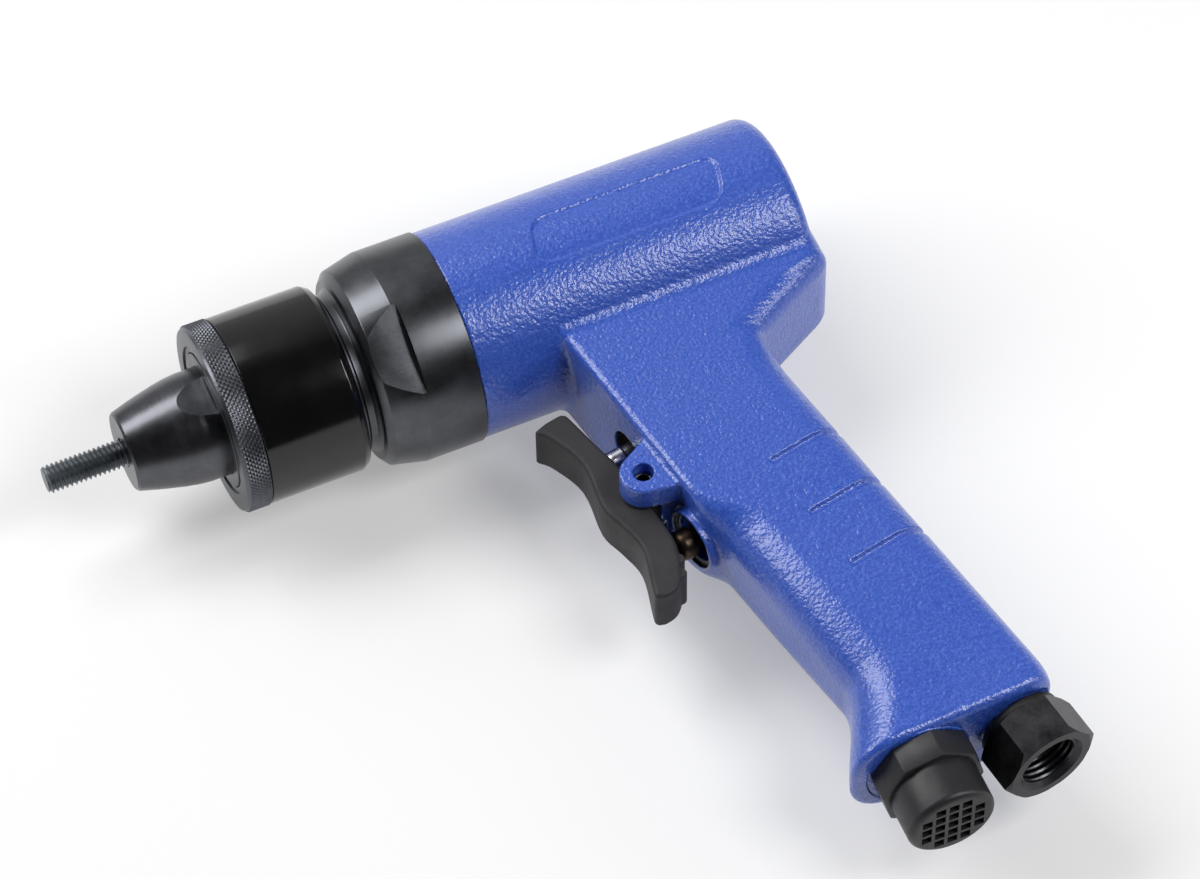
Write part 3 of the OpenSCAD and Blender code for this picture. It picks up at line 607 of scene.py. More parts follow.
def clean(bm, distance=0.004):
    """Merges points that fall together and faces that shrink to nothing."""
    bmesh.ops.remove_doubles(bm, verts=bm.verts, dist=distance)
    bmesh.ops.dissolve_degenerate(bm, edges=bm.edges, dist=distance / 2)
    bmesh.ops.recalc_face_normals(bm, faces=bm.faces)


def radial_sheet(z, radii):
    """A closed solid round Z: heights and radii on a grid of rings."""
    bm = bmesh.new()
    rows, columns = radii.shape
    turn = np.linspace(0, 2 * math.pi, columns, endpoint=False)
    x, y = radii * np.cos(turn), radii * np.sin(turn)
    rings = [[bm.verts.new((x[i, k], y[i, k], z[i, k])) for k in range(columns)]
             for i in range(rows)]
    for lower, upper in zip(rings, rings[1:]):
        wall(bm, lower, upper)
    bm.faces.new(rings[0][::-1])
    bm.faces.new(rings[-1])
    clean(bm)
    return bm


def plain_rings(points, columns):
    """Radii and heights of round rings for radial_sheet."""
    radii, heights = np.array(points, float).T
    return [np.repeat(v[:, None], columns, axis=1) for v in (radii, heights)]


def open_ends(bm):
    """Turns a solid with a flat cap at each end into a ring that is open through its middle."""
    caps = [f for f in bm.faces if len(f.verts) > 12]
    bmesh.ops.delete(bm, geom=caps, context="FACES_ONLY")
    bmesh.ops.bridge_loops(bm, edges=[e for e in bm.edges if e.is_boundary])
    bmesh.ops.recalc_face_normals(bm, faces=bm.faces)


# The housing. Each near_ function says which face middles get a finer mesh.

def near_grooves(c, across=2.0, before=1.5):
    gx, gs = grip_frame(c[:, 0], c[:, 1])
    close = [(np.abs(gs - middle) < across) & (gx > start - before) for middle, start in GROOVES]
    return np.any(close, axis=0)


def near_panel(c, across=1.4, above=15.0):
    return (np.abs(panel_edge(c[:, 0], c[:, 1])) < across) & (c[:, 2] > above)


def near_trigger(c, front=-6.0, back=7.0, along=21.0):
    gx, gs = grip_frame(c[:, 0], c[:, 1])
    below = np.hypot(c[:, 1], c[:, 2]) > BARREL_R
    return (gx < back) & (gx > front) & (np.abs(gs) < along) & below


def near_sockets(c, inside=4.0, below=-120.0):
    out = fitting_axis(c[:, 0], c[:, 1], SILENCER)[0]
    return (out > -inside) & (c[:, 1] < below)


def mark_bare(obj, reach=0.15, seam_inset=0.5, face_inset=1.0):
    """Marks the points that lie on the walls of the drilled bores, a little way in: they take no
    coat of paint, and a near-black colour that is painted shade in the holes.
    """
    x, y, z = (points_of(obj.data) / MM).T
    inside_grip = grip_frame(x, y)[0] > FACE_GAP + face_inset
    on_walls = [np.abs(wall) < reach for wall in housing_cuts(x, y, z)]
    motor, upper, lower, _, _, mouth, inlet, _, outlet, _ = on_walls
    bare = motor & (x > SEAM_X + seam_inset) | (upper | lower) & inside_grip
    bare |= mouth | inlet | outlet
    layer = obj.data.attributes.new("bare", "FLOAT", "POINT")
    layer.data.foreach_set("value", bare.astype(np.float32))


def make_housing():
    finest = lambda c: near_grooves(c) | near_panel(c)
    fine = lambda c: finest(c) | near_trigger(c) | near_sockets(c)
    finer = [fine, finest]
    low, high = (69, -134, -24), (148, 24, 24)
    obj = skin("housing_skin", housing_field, low, high, SKIN_PITCH, finer)
    # Bore walls: no paint coat, and a near-black colour that is painted shade.
    mark_bare(obj)
    hand_over(obj, "housing", "blue_paint", "housing")


# Turned and moulded pieces: profiles are (radius, place along the axis, corner radius)

def thread_radius(turns, crest, root, root_end=0.22, crest_start=0.88):
    """Radius of a metric thread at a number of turns along its helix."""
    t = np.abs((turns % 1) - 0.5) * 2
    return root + (crest - root) * np.clip((t - root_end) / (crest_start - root_end), 0, 1)


def helix_grid(z0, z1, pitch, steps, columns=72):
    """Heights of rings that climb one pitch a turn, and the turns along the helix there."""
    turn = np.linspace(0, 1, columns, endpoint=False)
    rows = int((z1 - z0 + 2 * pitch) * steps / pitch)
    z = np.clip(z0 + (np.arange(rows)[:, None] / steps - 1 + turn) * pitch, z0, z1)
    return z, (z - z0) / pitch - turn


def make_mandrel():
    crest, root, pitch, tip, rear = 2.94, 2.36, 1.0, -16.8, 7.2
    chamfer, chamfer_slope = 0.45, 0.8
    z, turns = helix_grid(tip, rear, pitch, 12)
    cone = crest - chamfer + (z - tip) * chamfer_slope
    radii = np.minimum(thread_radius(turns, crest, root), cone)
    rod = add_mesh("mandrel_thread", radial_sheet(z, radii))
    seat(rod, ALONG_X, "spindle", "mandrel_steel", "mandrel", 50)
    head = add_mesh("mandrel_head", prism(6, 7.95, 24, 30))
    shank = crest - 0.5
    combine(head, [lathe([(0, 7), (shank, 7), (shank, 24.5), (0, 24.5)], 64)], "UNION")
    soften(head, 0.2)
    seat(head, ALONG_X, "spindle", "mandrel_steel", "mandrel")


def make_nosepiece():
    body = add_mesh("nosepiece_turned", lathe(rounded([
        (3.15, 0, 0.15), (7.95, 0, 0.25), (8.4, 0.5, 0.25), (9.4, 4.0, 5), (10.1, 6.8, 5),
        (10.75, 9.6, 5), (11.25, 12.4, 5), (11.5, 15.0, 3), (11.5, 27.9), (9.2, 27.9), (9.2, 16),
        (3.15, 16)], 5), 160))
    flat_end, flat_height = 12.3, 11.15
    tilt = (Matrix.Translation((flat_end, 0, flat_height))
            @ Matrix.Rotation(math.radians(5), 4, "Y"))
    cutters = []
    for k in (0, 1):
        turn = Matrix.Rotation(math.radians(7), 4, "X") @ Matrix.Rotation(math.pi * k, 4, "X")
        cutters.append(block((-8, -15, 0), (7.4, 15, 6), turn @ tilt))
    body.data.transform(ALONG_X)
    combine(body, cutters, "DIFFERENCE")
    soften(body, 0.5, 4, 3)
    seat(body, Matrix.Identity(4), "nose", "black_oxide", "nosepiece", 25, "nose_oxide")


def make_holder():
    disc = add_mesh("nose_holder_disc", lathe(rounded([
        (11.53, 19.1, 0.1), (14.3, 19.1, 0.3), (14.3, 20.3), (15.5, 20.3), (15.5, 31), (12.4, 31),
        (12.4, 44), (10, 44), (10, 28), (11.53, 28)]), 128))
    seat(disc, ALONG_X, "nose", "black_oxide", "nose_holder")


def make_circlip():
    """Snap ring with a gap."""
    bm = bmesh.new()
    inner, outer, z0, z1 = 14.45, 16.3, 19.4, 20.2
    gap, gap_at, steps = math.radians(11), math.radians(214), 90
    sections = []
    for k in range(steps + 1):
        a = gap_at + gap / 2 + (2 * math.pi - gap) * k / steps
        corners = ((inner, z0), (outer, z0), (outer, z1), (inner, z1))
        sections.append([bm.verts.new((r * math.cos(a), r * math.sin(a), z))
                         for r, z in corners])
    for section, after in zip(sections, sections[1:]):
        wall(bm, section, after)
    bm.faces.new(sections[0][::-1])
    bm.faces.new(sections[-1])
    bmesh.ops.recalc_face_normals(bm, faces=bm.faces)
    ring = add_mesh("nose_circlip_ring", bm)
    soften(ring, 0.12, 40)
    seat(ring, ALONG_X, "sleeve", "spring_steel", "nose_circlip")


def make_lock_ring():
    """Ring with a diamond knurl: two families of ridges that cross."""
    outer, depth, start, end = 20.0, 0.34, 19.75, 24.2
    ridges, points, peak_gain = 110, 6, 1.2
    columns = ridges * points
    turn = np.linspace(0, ridges, columns, endpoint=False)
    pitch = 2 * math.pi * outer / ridges
    levels = np.linspace(start, end, int(round((end - start) / pitch * points)) + 1)[:, None]
    wave = lambda t: 1 - np.abs(2 * (t % 1) - 1)
    lift = np.minimum(wave(turn + levels / pitch), wave(turn - levels / pitch))
    knurl = outer - depth + depth * np.clip(lift * peak_gain, 0, 1)
    front_r, front_z = plain_rings([(15.8, 20.2), (15.8, 19.1), (15.9, 19.0), (19.15, 19.0),
                                    (19.35, 19.08), (19.6, 19.6)], columns)
    back_r, back_z = plain_rings([(19.6, 24.4), (19.45, 24.5), (15.6, 24.5)], columns)
    z = np.concatenate([front_z, np.broadcast_to(levels, knurl.shape), back_z])
    bm = radial_sheet(z, np.concatenate([front_r, knurl, back_r]))
    open_ends(bm)
    ring = add_mesh("lock_ring_knurl", bm)
    seat(ring, ALONG_X, "sleeve", "black_oxide", "lock_ring", 24, "knurl_oxide")


def make_sleeve():
    body = add_mesh("sleeve_turned", lathe(rounded([
        (15.56, 24.5), (19.6, 24.5, 0.1), (19.8, 24.7, 0.1), (19.8, 44.5, 0.5), (18.9, 46, 0.3),
        (17.5, 46, 0.1), (17.35, 45.6), (17.35, 32), (15.56, 32)]), 192))
    seat(body, ALONG_X, "sleeve", "gloss_black", "adjusting_sleeve", 30)


def make_collar():
    body = add_mesh("collar_turned", lathe(rounded([
        (12.45, 36), (16.7, 36, 0.1), (17.3, 36.6, 0.1), (17.3, 46.6, 0.1), (16.7, 47.1, 0.2),
        (16.7, 48.4, 0.3), (17.3, 49.1, 0.3), (17.6, 49.4, 0.2), (19.2, 49.4, 0.35),
        (20.9, 50.8, 0.5), (COLLAR_R, 57.6, 0.4), (COLLAR_R, 69.95, 0.12), (19.42, 69.95),
        (19.42, 80), (17.03, 80), (17.03, 62.4), (14.03, 62.4), (14.03, 51), (12.45, 51)], 5), 256))
    cutters = [block((49, -24, COLLAR_FLAT), (58.6, 24, 40),
                     Matrix.Rotation(math.pi * k + COLLAR_TURN, 4, "X")) for k in (0, 1)]
    body.data.transform(ALONG_X)
    combine(body, cutters, "DIFFERENCE")
    soften(body, 0.13, 14)
    seat(body, Matrix.Identity(4), "housing", "black_oxide", "front_collar", 20, "collar_oxide")


def make_pin():
    """Hollow spring pin with a slit along one side."""
    pin = add_mesh("trigger_pin_rolled", lathe(rounded([
        (1.45, -9, 0.1), (2.08, -9, 0.35), (2.08, 9, 0.35), (1.45, 9, 0.1)]), 64))
    slit = Matrix.Rotation(math.radians(200), 4, "Z")
    combine(pin, [block((0.5, -0.25, -10), (3, 0.25, 10), slit)], "DIFFERENCE")
    seat(pin, GRIP_PLACE, "housing", "steel", "trigger_pin", material="pin_steel")


def make_stem(side, tip, radius, body, slot):
    """Valve stem: a knob in front, a thin neck, and a head with a groove for its seal."""
    neck, head, groove = 2.0, 4.05, 2.84
    outline = rounded([
        (0, tip), (radius, tip, radius * 0.6), (radius, tip + 3.9, 0.4), (neck, tip + 4.3, 0.2),
        (neck, 14.1), (head, 14.1, 0.15), (head, 14.55), (groove, 14.55), (groove, 16.05),
        (head, 16.05), (head, 16.5, 0.15), (neck, 16.5), (neck, 19.7), (0, 19.7)], 8)
    name = "forward" if side > 0 else "reverse"
    stem = add_mesh(f"{name}_stem_turned", lathe(outline, 64))
    seat(stem, valve_place(side), body, slot, f"{name}_valve_stem")


def make_inlet():
    flats, start, end, spigot = 18.0, 1.1, 10.8, 6.78
    body = add_mesh("inlet_hex", prism(6, flats, start, end, math.radians(8)))
    chamfer = lathe([(0, start), (9.3, start), (10.5, 1.95), (10.5, 9.9), (9.1, end), (0, end)],
                    128)
    combine(body, [chamfer], "INTERSECT")
    combine(body, [lathe([(0, -12.8), (spigot, -12.8), (spigot, 2), (0, 2)], 96)], "UNION")
    hole = lathe([(0, -14), (4.4, -14), (4.4, -0.2), (6.15, -0.2), (6.15, 9.6), (7.3, 10.9),
                  (0, 10.9)], 96)
    combine(body, [hole], "DIFFERENCE")
    soften(body, 0.22, 25)
    seat(body, base_place(INLET), "housing", "black_oxide", "inlet_bushing", 25, "inlet_oxide")
    make_tapped_bore()


def make_tapped_bore():
    """The pipe thread inside the air inlet."""
    pitch, crest, root, outside, z0, z1 = 1.337, 5.9, 6.14, 6.3, -0.1, 9.7
    z, turns = helix_grid(z0, z1, pitch, 10)
    radii = root + crest - thread_radius(turns, root, crest)
    start_r, start_z = plain_rings([(outside, z0)], z.shape[1])
    end_r, end_z = plain_rings([(outside, z1)], z.shape[1])
    bm = radial_sheet(np.concatenate([start_z, z, end_z]), np.concatenate([start_r, radii, end_r]))
    open_ends(bm)
    bore = add_mesh("inlet_thread", bm)
    seat(bore, base_place(INLET), "housing", "black_oxide", "inlet_bushing", 40)


def make_washer():
    inner, outer, z0 = 6.9, 8.6, INLET.seat + SEAT_GAP
    z1 = z0 + 1.8
    ring = add_mesh("inlet_washer_ring", lathe(rounded([
        (inner, z0, 0.15), (outer, z0, 0.5), (outer, z1, 0.5), (inner, z1, 0.15)]), 96))
    seat(ring, base_place(INLET), "housing", "rubber", "inlet_washer")


def make_silencer():
    """Cup with an octagonal flange and a grid of square holes in its end."""
    flats, flange_start, flange_end = 20.1, SILENCER.seat + SEAT_GAP, 4.65
    spigot, length, inner, wall = 8.15, 13.7, 6.9, 1.8
    pitch, hole, grid_reach = 2.75, 2.05, 2.6
    flange = prism(8, flats, flange_start, flange_end, math.radians(-9))
    body = add_mesh("silencer_moulding", flange)
    soften(body, 0.3, 25)
    cup = lathe(rounded([
        (0, -9), (spigot, -9, 0.3), (spigot, 0), (9.0, flange_end - 1), (9.12, flange_end + 0.2),
        (9.1, length, 1.4), (0, length)], 6), 128)
    combine(body, [cup], "UNION")
    floor = length - wall
    inside = lathe([(0, -10), (inner, -10), (inner, floor), (0, floor)], 96)
    grid = bmesh.new()
    size = Matrix.Diagonal((hole, hole, 5, 1))
    for x in range(-2, 3):
        for y in range(-2, 3):
            if math.hypot(x, y) < grid_reach:
                place = Matrix.Translation((x * pitch, y * pitch, length - 0.5))
                bmesh.ops.create_cube(grid, size=1, matrix=place @ size)
    combine(body, [inside, grid], "DIFFERENCE")
    soften(body, 0.12, 40)
    seat(body, base_place(SILENCER), "housing", "silencer_plastic", "silencer", 25)


# The finger side of the trigger from its top end to its lower tip, and its back the other way
FINGER = ((-9.0, 24.5), (-9.5, 23.7), (-7.8, 20.6), (-6.2, 12.2), (-8.9, 1.6), (-8.3, -4.4),
          (-8.1, -11.2), (-11.6, -19.6), (-12.3, -21.6), (-11.8, -22.5))
BACK = ((-10.6, -23.0), (-8.4, -22.9), (-6.6, -22.0), (-5.0, -20.2), (-1.8, -14.0), (-0.9, -6.0),
        (-0.4, 7.0), (-1.1, 14.0), (-1.9, 23.2), (-2.4, 24.4), (-3.4, 24.9), (-6.5, 24.9))


def spline(points, steps):
    """Catmull-Rom curve through the points."""
    p = np.array([points[0]] + list(points) + [points[-1]], float)
    out = []
    for i in range(1, len(p) - 2):
        for t in np.arange(steps) / steps:
            out.append(0.5 * (2 * p[i] + (p[i + 1] - p[i - 1]) * t
                              + (2 * p[i - 1] - 5 * p[i] + 4 * p[i + 1] - p[i + 2]) * t * t
                              + (3 * p[i] - p[i - 1] - 3 * p[i + 1] + p[i + 2]) * t ** 3))
    out.append(p[-2])
    return out


def outline_distance(points):
    """Distance to a closed outline, less than zero inside it."""
    a = np.array(points)
    b = np.roll(a, -1, axis=0)

    def distance(u, v):
        shape = np.broadcast_shapes(np.shape(u), np.shape(v))
        u, v = np.broadcast_to(u, shape).ravel(), np.broadcast_to(v, shape).ravel()
        best = np.full(u.shape, np.inf)
        inside = np.zeros(u.shape, bool)
        for (ax, ay), (bx, by) in zip(a, b):
            ex, ey = bx - ax, by - ay
            t = np.clip(((u - ax) * ex + (v - ay) * ey) / (ex * ex + ey * ey), 0, 1)
            best = np.minimum(best, np.hypot(u - ax - t * ex, v - ay - t * ey))
            if ay != by:
                inside ^= ((ay > v) != (by > v)) & (u < ax + (v - ay) * ex / ey)
        return np.where(inside, -best, best).reshape(shape)
    return distance


def make_trigger():
    outline = outline_distance(spline(FINGER, 5) + spline(BACK, 4))

    def field(gx, gs, z):
        from_pin = np.hypot(gx, gs)
        sides = np.abs(z) - TRIGGER_HALF_W
        body = round_meet(outline(gx, gs), sides, TRIGGER_EDGE)
        body = round_join(body, round_meet(from_pin - HUB_R, sides, 0.4), 0.8)
        for rib_x, rib_s in RIBS:
            rib = np.hypot(gx - rib_x, gs - rib_s) - RIB_R
            body = round_join(body, round_meet(rib, np.abs(z) - RIB_HALF_W, 0.3), 0.3)
        return cut(body, from_pin - TRIGGER_BORE_R, 0.2)

    pitch = 0.4
    obj = skin("trigger_skin", field, (-14, -25, -7), (5, 27, 7), pitch)
    pivot = Matrix.Translation((PIVOT[0] * MM, PIVOT[1] * MM, 0))
    turn = pivot @ Matrix.Rotation(LEAN, 4, "Z")
    normals = [turn.to_3x3() @ n.vector for n in obj.data.corner_normals]
    obj.data.transform(turn)
    obj.data.normals_split_custom_set([tuple(n) for n in normals])
    hand_over(obj, "trigger", "trigger_nylon", "trigger")


# Materials

def set_range(node, start, end, low, high):
    """Maps start to end onto low to high in a Map Range node."""
    for key, value in (("From Min", start), ("From Max", end), ("To Min", low), ("To Max", high)):
        node.inputs[key].default_value = value
    return node.outputs["Result"]


MATERIALS = {}


class Nodes:
    """A new material under its name in MATERIALS, with short names for building its nodes."""

    def __init__(self, name):
        material = MATERIALS[name] = bpy.data.materials.new(name)
        material.use_nodes = True
        self.tree = material.node_tree
        self.shader = self.tree.nodes["Principled BSDF"]
        self.place = self.add("ShaderNodeTexCoord").outputs["Object"]

    def add(self, kind, **values):
        node = self.tree.nodes.new(kind)
        for key, value in values.items():
            setattr(node, key, value)
        return node

    def link(self, a, b):
        self.tree.links.new(a, b)

    def stretched(self, scale):
        node = self.add("ShaderNodeMapping")
        node.inputs["Scale"].default_value = scale
        self.link(self.place, node.inputs["Vector"])
        return node.outputs["Vector"]

    def noise(self, scale, detail=3.0, rough=0.5, vector=None):
        node = self.add("ShaderNodeTexNoise")
        for key, value in (("Scale", scale), ("Detail", detail), ("Roughness", rough)):
            node.inputs[key].default_value = value
        self.link(vector or self.place, node.inputs["Vector"])
        return node.outputs["Fac"]

    def ramp(self, factor, stops):
        node = self.add("ShaderNodeValToRGB")
        elements = node.color_ramp.elements
        for element, (position, color) in zip(elements, (stops[0], stops[-1])):
            element.position, element.color = position, (*color, 1)
        for position, color in stops[1:-1]:
            elements.new(position).color = (*color, 1)
        self.link(factor, node.inputs["Fac"])
        return node.outputs["Color"]

    def span(self, factor, low, high, start=0.3, end=0.7):
        node = self.add("ShaderNodeMapRange")
        self.link(factor, node.inputs["Value"])
        return set_range(node, start, end, low, high)

    def turning(self, across, around):
        """Place along the barrel, distance from its axis, and a little of the turn round it."""
        split = self.add("ShaderNodeSeparateXYZ")
        self.link(self.place, split.inputs["Vector"])
        flat = self.add("ShaderNodeCombineXYZ")
        self.link(split.outputs["Y"], flat.inputs["Y"])
        self.link(split.outputs["Z"], flat.inputs["Z"])
        length = self.add("ShaderNodeVectorMath", operation="LENGTH")
        self.link(flat.outputs["Vector"], length.inputs[0])
        out = self.add("ShaderNodeCombineXYZ")
        for source, target, scale in ((split.outputs["X"], "X", across),
                                      (length.outputs["Value"], "Y", across),
                                      (split.outputs["Y"], "Z", around)):
            product = self.add("ShaderNodeMath", operation="MULTIPLY")
            product.inputs[1].default_value = scale
            self.link(source, product.inputs[0])
            self.link(product.outputs[0], out.inputs[target])
        return out.outputs["Vector"]

    def mix(self, a, b, share):
        """Both together, b with the given share, which is a number or a socket."""
        node = self.add("ShaderNodeMix")
        if isinstance(share, float):
            node.inputs["Factor"].default_value = share
        else:
            self.link(share, node.inputs["Factor"])
        self.link(a, node.inputs["A"])
        self.link(b, node.inputs["B"])
        return node.outputs["Result"]

    def bump(self, height, distance, strength=None):
        """The surface direction over a height; the strength, where given, is a socket."""
        node = self.add("ShaderNodeBump")
        node.inputs["Distance"].default_value = distance
        node.inputs["Strength"].default_value = 1.0
        self.link(height, node.inputs["Height"])
        if strength:
            self.link(strength, node.inputs["Strength"])
        return node.outputs["Normal"]

    def finish(self, color, roughness, normal, **values):
        """Links the shader's inputs and sets the constant ones, named in small letters."""
        for key, value in (("Base Color", color), ("Roughness", roughness), ("Normal", normal)):
            self.link(value, self.shader.inputs[key])
        for key, value in values.items():
            name = key.replace("_", " ").title().replace("Ior", "IOR")
            self.shader.inputs[name].default_value = value


def shades(color, low=0.85, high=1.15):
    """Ramp stops from a darker to a lighter shade of a colour."""
    return [(0.3, tuple(c * low for c in color)), (0.7, tuple(c * high for c in color))]


def hammer_paint():
    """Glossy paint over a lumpy cast surface; the drilled bores inside it have no coat, and a
    near-black colour there is painted shade.
    """
    nodes = Nodes("blue_paint")
    lumps = nodes.noise(1350, 1.5, 0.5)
    swell = nodes.noise(560, 1.0, 0.4)
    speck = nodes.mix(nodes.noise(2100, 2.0, 0.6), lumps, 0.35)
    tint = nodes.ramp(speck, [(0.36, (0.018, 0.064, 0.4)), (0.52, (0.03, 0.092, 0.48)),
                          (0.66, (0.056, 0.14, 0.58))])
    # Where the mark is set, the bore walls: no coat and a near-black painted shade in the holes.
    bare = nodes.add("ShaderNodeAttribute", attribute_name="bare").outputs["Fac"]
    painted_bore_shade = nodes.ramp(nodes.noise(900, 3.0), shades((0.03, 0.03, 0.035), 0.7, 1.3))
    color = nodes.add("ShaderNodeMix", data_type="RGBA")
    factor, paint, bore_shade_input = (color.inputs[k] for k in (0, 6, 7))
    for source, target in ((bare, factor), (tint, paint), (painted_bore_shade, bore_shade_input)):
        nodes.link(source, target)
    nodes.link(nodes.span(bare, 0.7, 0.0, 0.0, 1.0), nodes.shader.inputs["Coat Weight"])
    bump = nodes.bump(nodes.mix(lumps, swell, 0.35), 0.00026)
    nodes.link(bump, nodes.shader.inputs["Coat Normal"])
    rough = nodes.span(nodes.noise(60, 3.0), 0.34, 0.44)
    nodes.finish(color.outputs[2], rough, bump, coat_roughness=0.17)


def black_oxide(name, color, low, high, depth=0.000003, turned=True, dust=0.35, sheen=1.0):
    """Blackened steel: turning marks, patchy sheen and a little dust and wear."""
    nodes = Nodes(name)
    place = nodes.turning(3400, 12) if turned else nodes.stretched((1400, 1400, 1400))
    marks = nodes.noise(1.0, 4.0, 0.6, place)
    patch = nodes.noise(170, 5.0, 0.62)
    tint = nodes.ramp(nodes.mix(patch, marks, 0.2), shades(color, 1 - dust, 1 + dust))
    rough = nodes.span(nodes.mix(patch, marks, 0.25), low, high)
    nodes.finish(tint, rough, nodes.bump(marks, depth), metallic=sheen)


def collar_oxide():
    """Black oxide with slanting grinding marks on the two wrench flats."""
    nodes = Nodes("collar_oxide")
    turned = nodes.noise(1.0, 4.0, 0.5, nodes.turning(3600, 12))
    patch = nodes.noise(150, 5.0, 0.62)
    spin = nodes.add("ShaderNodeMapping")
    spin.inputs["Rotation"].default_value = (-COLLAR_TURN, 0, 0)
    nodes.link(nodes.place, spin.inputs["Vector"])
    split = nodes.add("ShaderNodeSeparateXYZ")
    nodes.link(spin.outputs["Vector"], split.inputs["Vector"])
    height = nodes.add("ShaderNodeMath", operation="ABSOLUTE")
    nodes.link(split.outputs["Z"], height.inputs[0])
    flat = nodes.add("ShaderNodeMath", operation="COMPARE")
    flat.inputs[1].default_value = COLLAR_FLAT * MM
    flat.inputs[2].default_value = 0.00003
    nodes.link(height.outputs[0], flat.inputs[0])
    on_flat = flat.outputs[0]
    slant = nodes.add("ShaderNodeMapping")
    slant.inputs["Rotation"].default_value = (0, 0, math.radians(35))
    slant.inputs["Scale"].default_value = (260, 2600, 300)
    nodes.link(spin.outputs["Vector"], slant.inputs["Vector"])
    ground = nodes.noise(1.0, 4.0, 0.7, slant.outputs["Vector"])
    marks = nodes.mix(turned, ground, on_flat)
    tint = nodes.ramp(nodes.mix(patch, marks, 0.2), shades((0.095, 0.098, 0.108), 0.75, 1.25))
    bump = nodes.bump(marks, 0.00004, nodes.span(on_flat, 0.04, 1.0, 0.0, 1.0))
    nodes.finish(tint, nodes.span(nodes.mix(patch, marks, 0.2), 0.26, 0.36), bump, metallic=1.0)


def metal(name, color, low, high):
    """Bright metal with fine marks round its length."""
    nodes = Nodes(name)
    turned = nodes.noise(1.0, 3.0, 0.5, nodes.stretched((2600, 90, 90)))
    tint = nodes.ramp(nodes.noise(240, 3.0), shades(color, 0.9, 1.1))
    nodes.finish(tint, nodes.span(turned, low, high), nodes.bump(turned, 0.000004), metallic=1.0)


def moulding(name, color, low, high, scale=1400, depth=0.00003, shine=0.5):
    """Plastic, rubber or fibre with a fine grain."""
    nodes = Nodes(name)
    tint = nodes.ramp(nodes.noise(160, 4.0, 0.6), shades(color))
    grain = nodes.bump(nodes.noise(scale, 3.0, 0.6), depth)
    rough = nodes.span(nodes.noise(220, 3.0), low, high)
    nodes.finish(tint, rough, grain, specular_ior_level=shine)


# Name, colour, and the lowest and highest roughness
hammer_paint()
black_oxide("black_oxide", (0.07, 0.072, 0.08), 0.26, 0.4)
black_oxide("nose_oxide", (0.1, 0.102, 0.113), 0.25, 0.36, depth=0.000004, dust=0.25)
black_oxide("knurl_oxide", (0.11, 0.115, 0.13), 0.3, 0.42)
black_oxide("inlet_oxide", (0.05, 0.05, 0.054), 0.32, 0.48, 0.00002, turned=False, dust=0.5)
collar_oxide()
black_oxide("gloss_black", (0.003, 0.003, 0.0035), 0.1, 0.16, depth=0.000001, sheen=0.0)
black_oxide("mandrel_steel", (0.15, 0.165, 0.18), 0.32, 0.46)
metal("steel", (0.5, 0.5, 0.51), 0.22, 0.36)
metal("pin_steel", (0.16, 0.16, 0.17), 0.25, 0.4)
metal("spring_steel", (0.06, 0.06, 0.062), 0.25, 0.4)
metal("brass", (0.6, 0.44, 0.2), 0.24, 0.38)
# Near-black bronze: the stem is bronze, and its darkness is painted shade.
metal("bronze", (0.06, 0.043, 0.032), 0.3, 0.44)
moulding("rubber", (0.012, 0.012, 0.012), 0.5, 0.65)
moulding("trigger_nylon", (0.033, 0.032, 0.035), 0.5, 0.6, shine=0.25)
moulding("silencer_plastic", (0.015, 0.015, 0.018), 0.38, 0.5, shine=0.4)
moulding("vane_resin", (0.2, 0.1, 0.05), 0.5, 0.6)
moulding("gasket_fibre", (0.06, 0.06, 0.06), 0.7, 0.8)
moulding("felt", (0.2, 0.2, 0.19), 0.9, 0.98, 900, 0.0002)


def dress(obj, slot):
    obj.data.materials.clear()
    obj.data.materials.append(MATERIALS[slot])


def dress_frame():
    """Every CAD node that is shown takes its own slot's material."""
    for part in frame["record"]["subparts"]:
        node = frame["nodes"].get(part["node"])
        if node is not None:
            dress(node, part["material_slot"])


dress_frame()
for make in (make_housing, make_trigger, make_mandrel, make_nosepiece, make_holder, make_circlip,
             make_lock_ring, make_sleeve, make_collar, make_pin):
    make()
make_stem(1, -0.55, 2.3, "forward_valve", "steel")
# The reverse valve stem takes the dark bronze, whose darkness is painted shade.
make_stem(-1, -0.95, 3.2, "reverse_valve", "bronze")
make_inlet()
make_washer()
make_silencer()
for piece, material in PIECES:
    dress(piece, material)


# Studio

FLOOR_Z = -0.0225
FLOOR_HALF = 3.0
FLOOR_WHITE = 0.9
FLOOR_GLOW = 0.35

# The surroundings' strength on the near and the far side, and the Y of the directions between
# which it changes
WORLD_NEAR = 0.05
WORLD_FAR = 0.55
WORLD_TURN = (0.1, 0.8)

# Lamps: the direction from the point it lights, width and height, radiance, and that point
LAMP_DISTANCE = 0.9
LAMPS = {
    "key": ((0.46, -0.47, 0.8), (0.38, 0.34), 9.5, (0.1, -0.01, 0.02)),
    "back": ((-0.44, 0.49, 0.76), (0.94, 0.4), 6.2, (0.06, -0.03, 0.0)),
    "side": ((0.8, -0.44, 0.42), (0.3, 0.26), 6.0, (0.12, -0.02, 0.0)),
}

# The photo's camera: its lens for a 36 mm wide picture, its place, and the directions of the
# picture's right side, its lower side and the view
LENS = 161.68
SENSOR = 36.0
CAMERA_PLACE = (-0.15168, -0.60937, 0.88643)
CAMERA_RIGHT = (0.9152, -0.4029, -0.0124)
CAMERA_DOWN = (-0.3364, -0.7467, -0.5738)
CAMERA_VIEW = (0.2219, 0.5293, -0.8189)


def place_along(obj, right, up, back, place):
    """Sets an object's axes and its place."""
    rows = [[right[k], up[k], back[k], place[k]] for k in range(3)]
    obj.matrix_world = Matrix(rows + [[0, 0, 0, 1]])


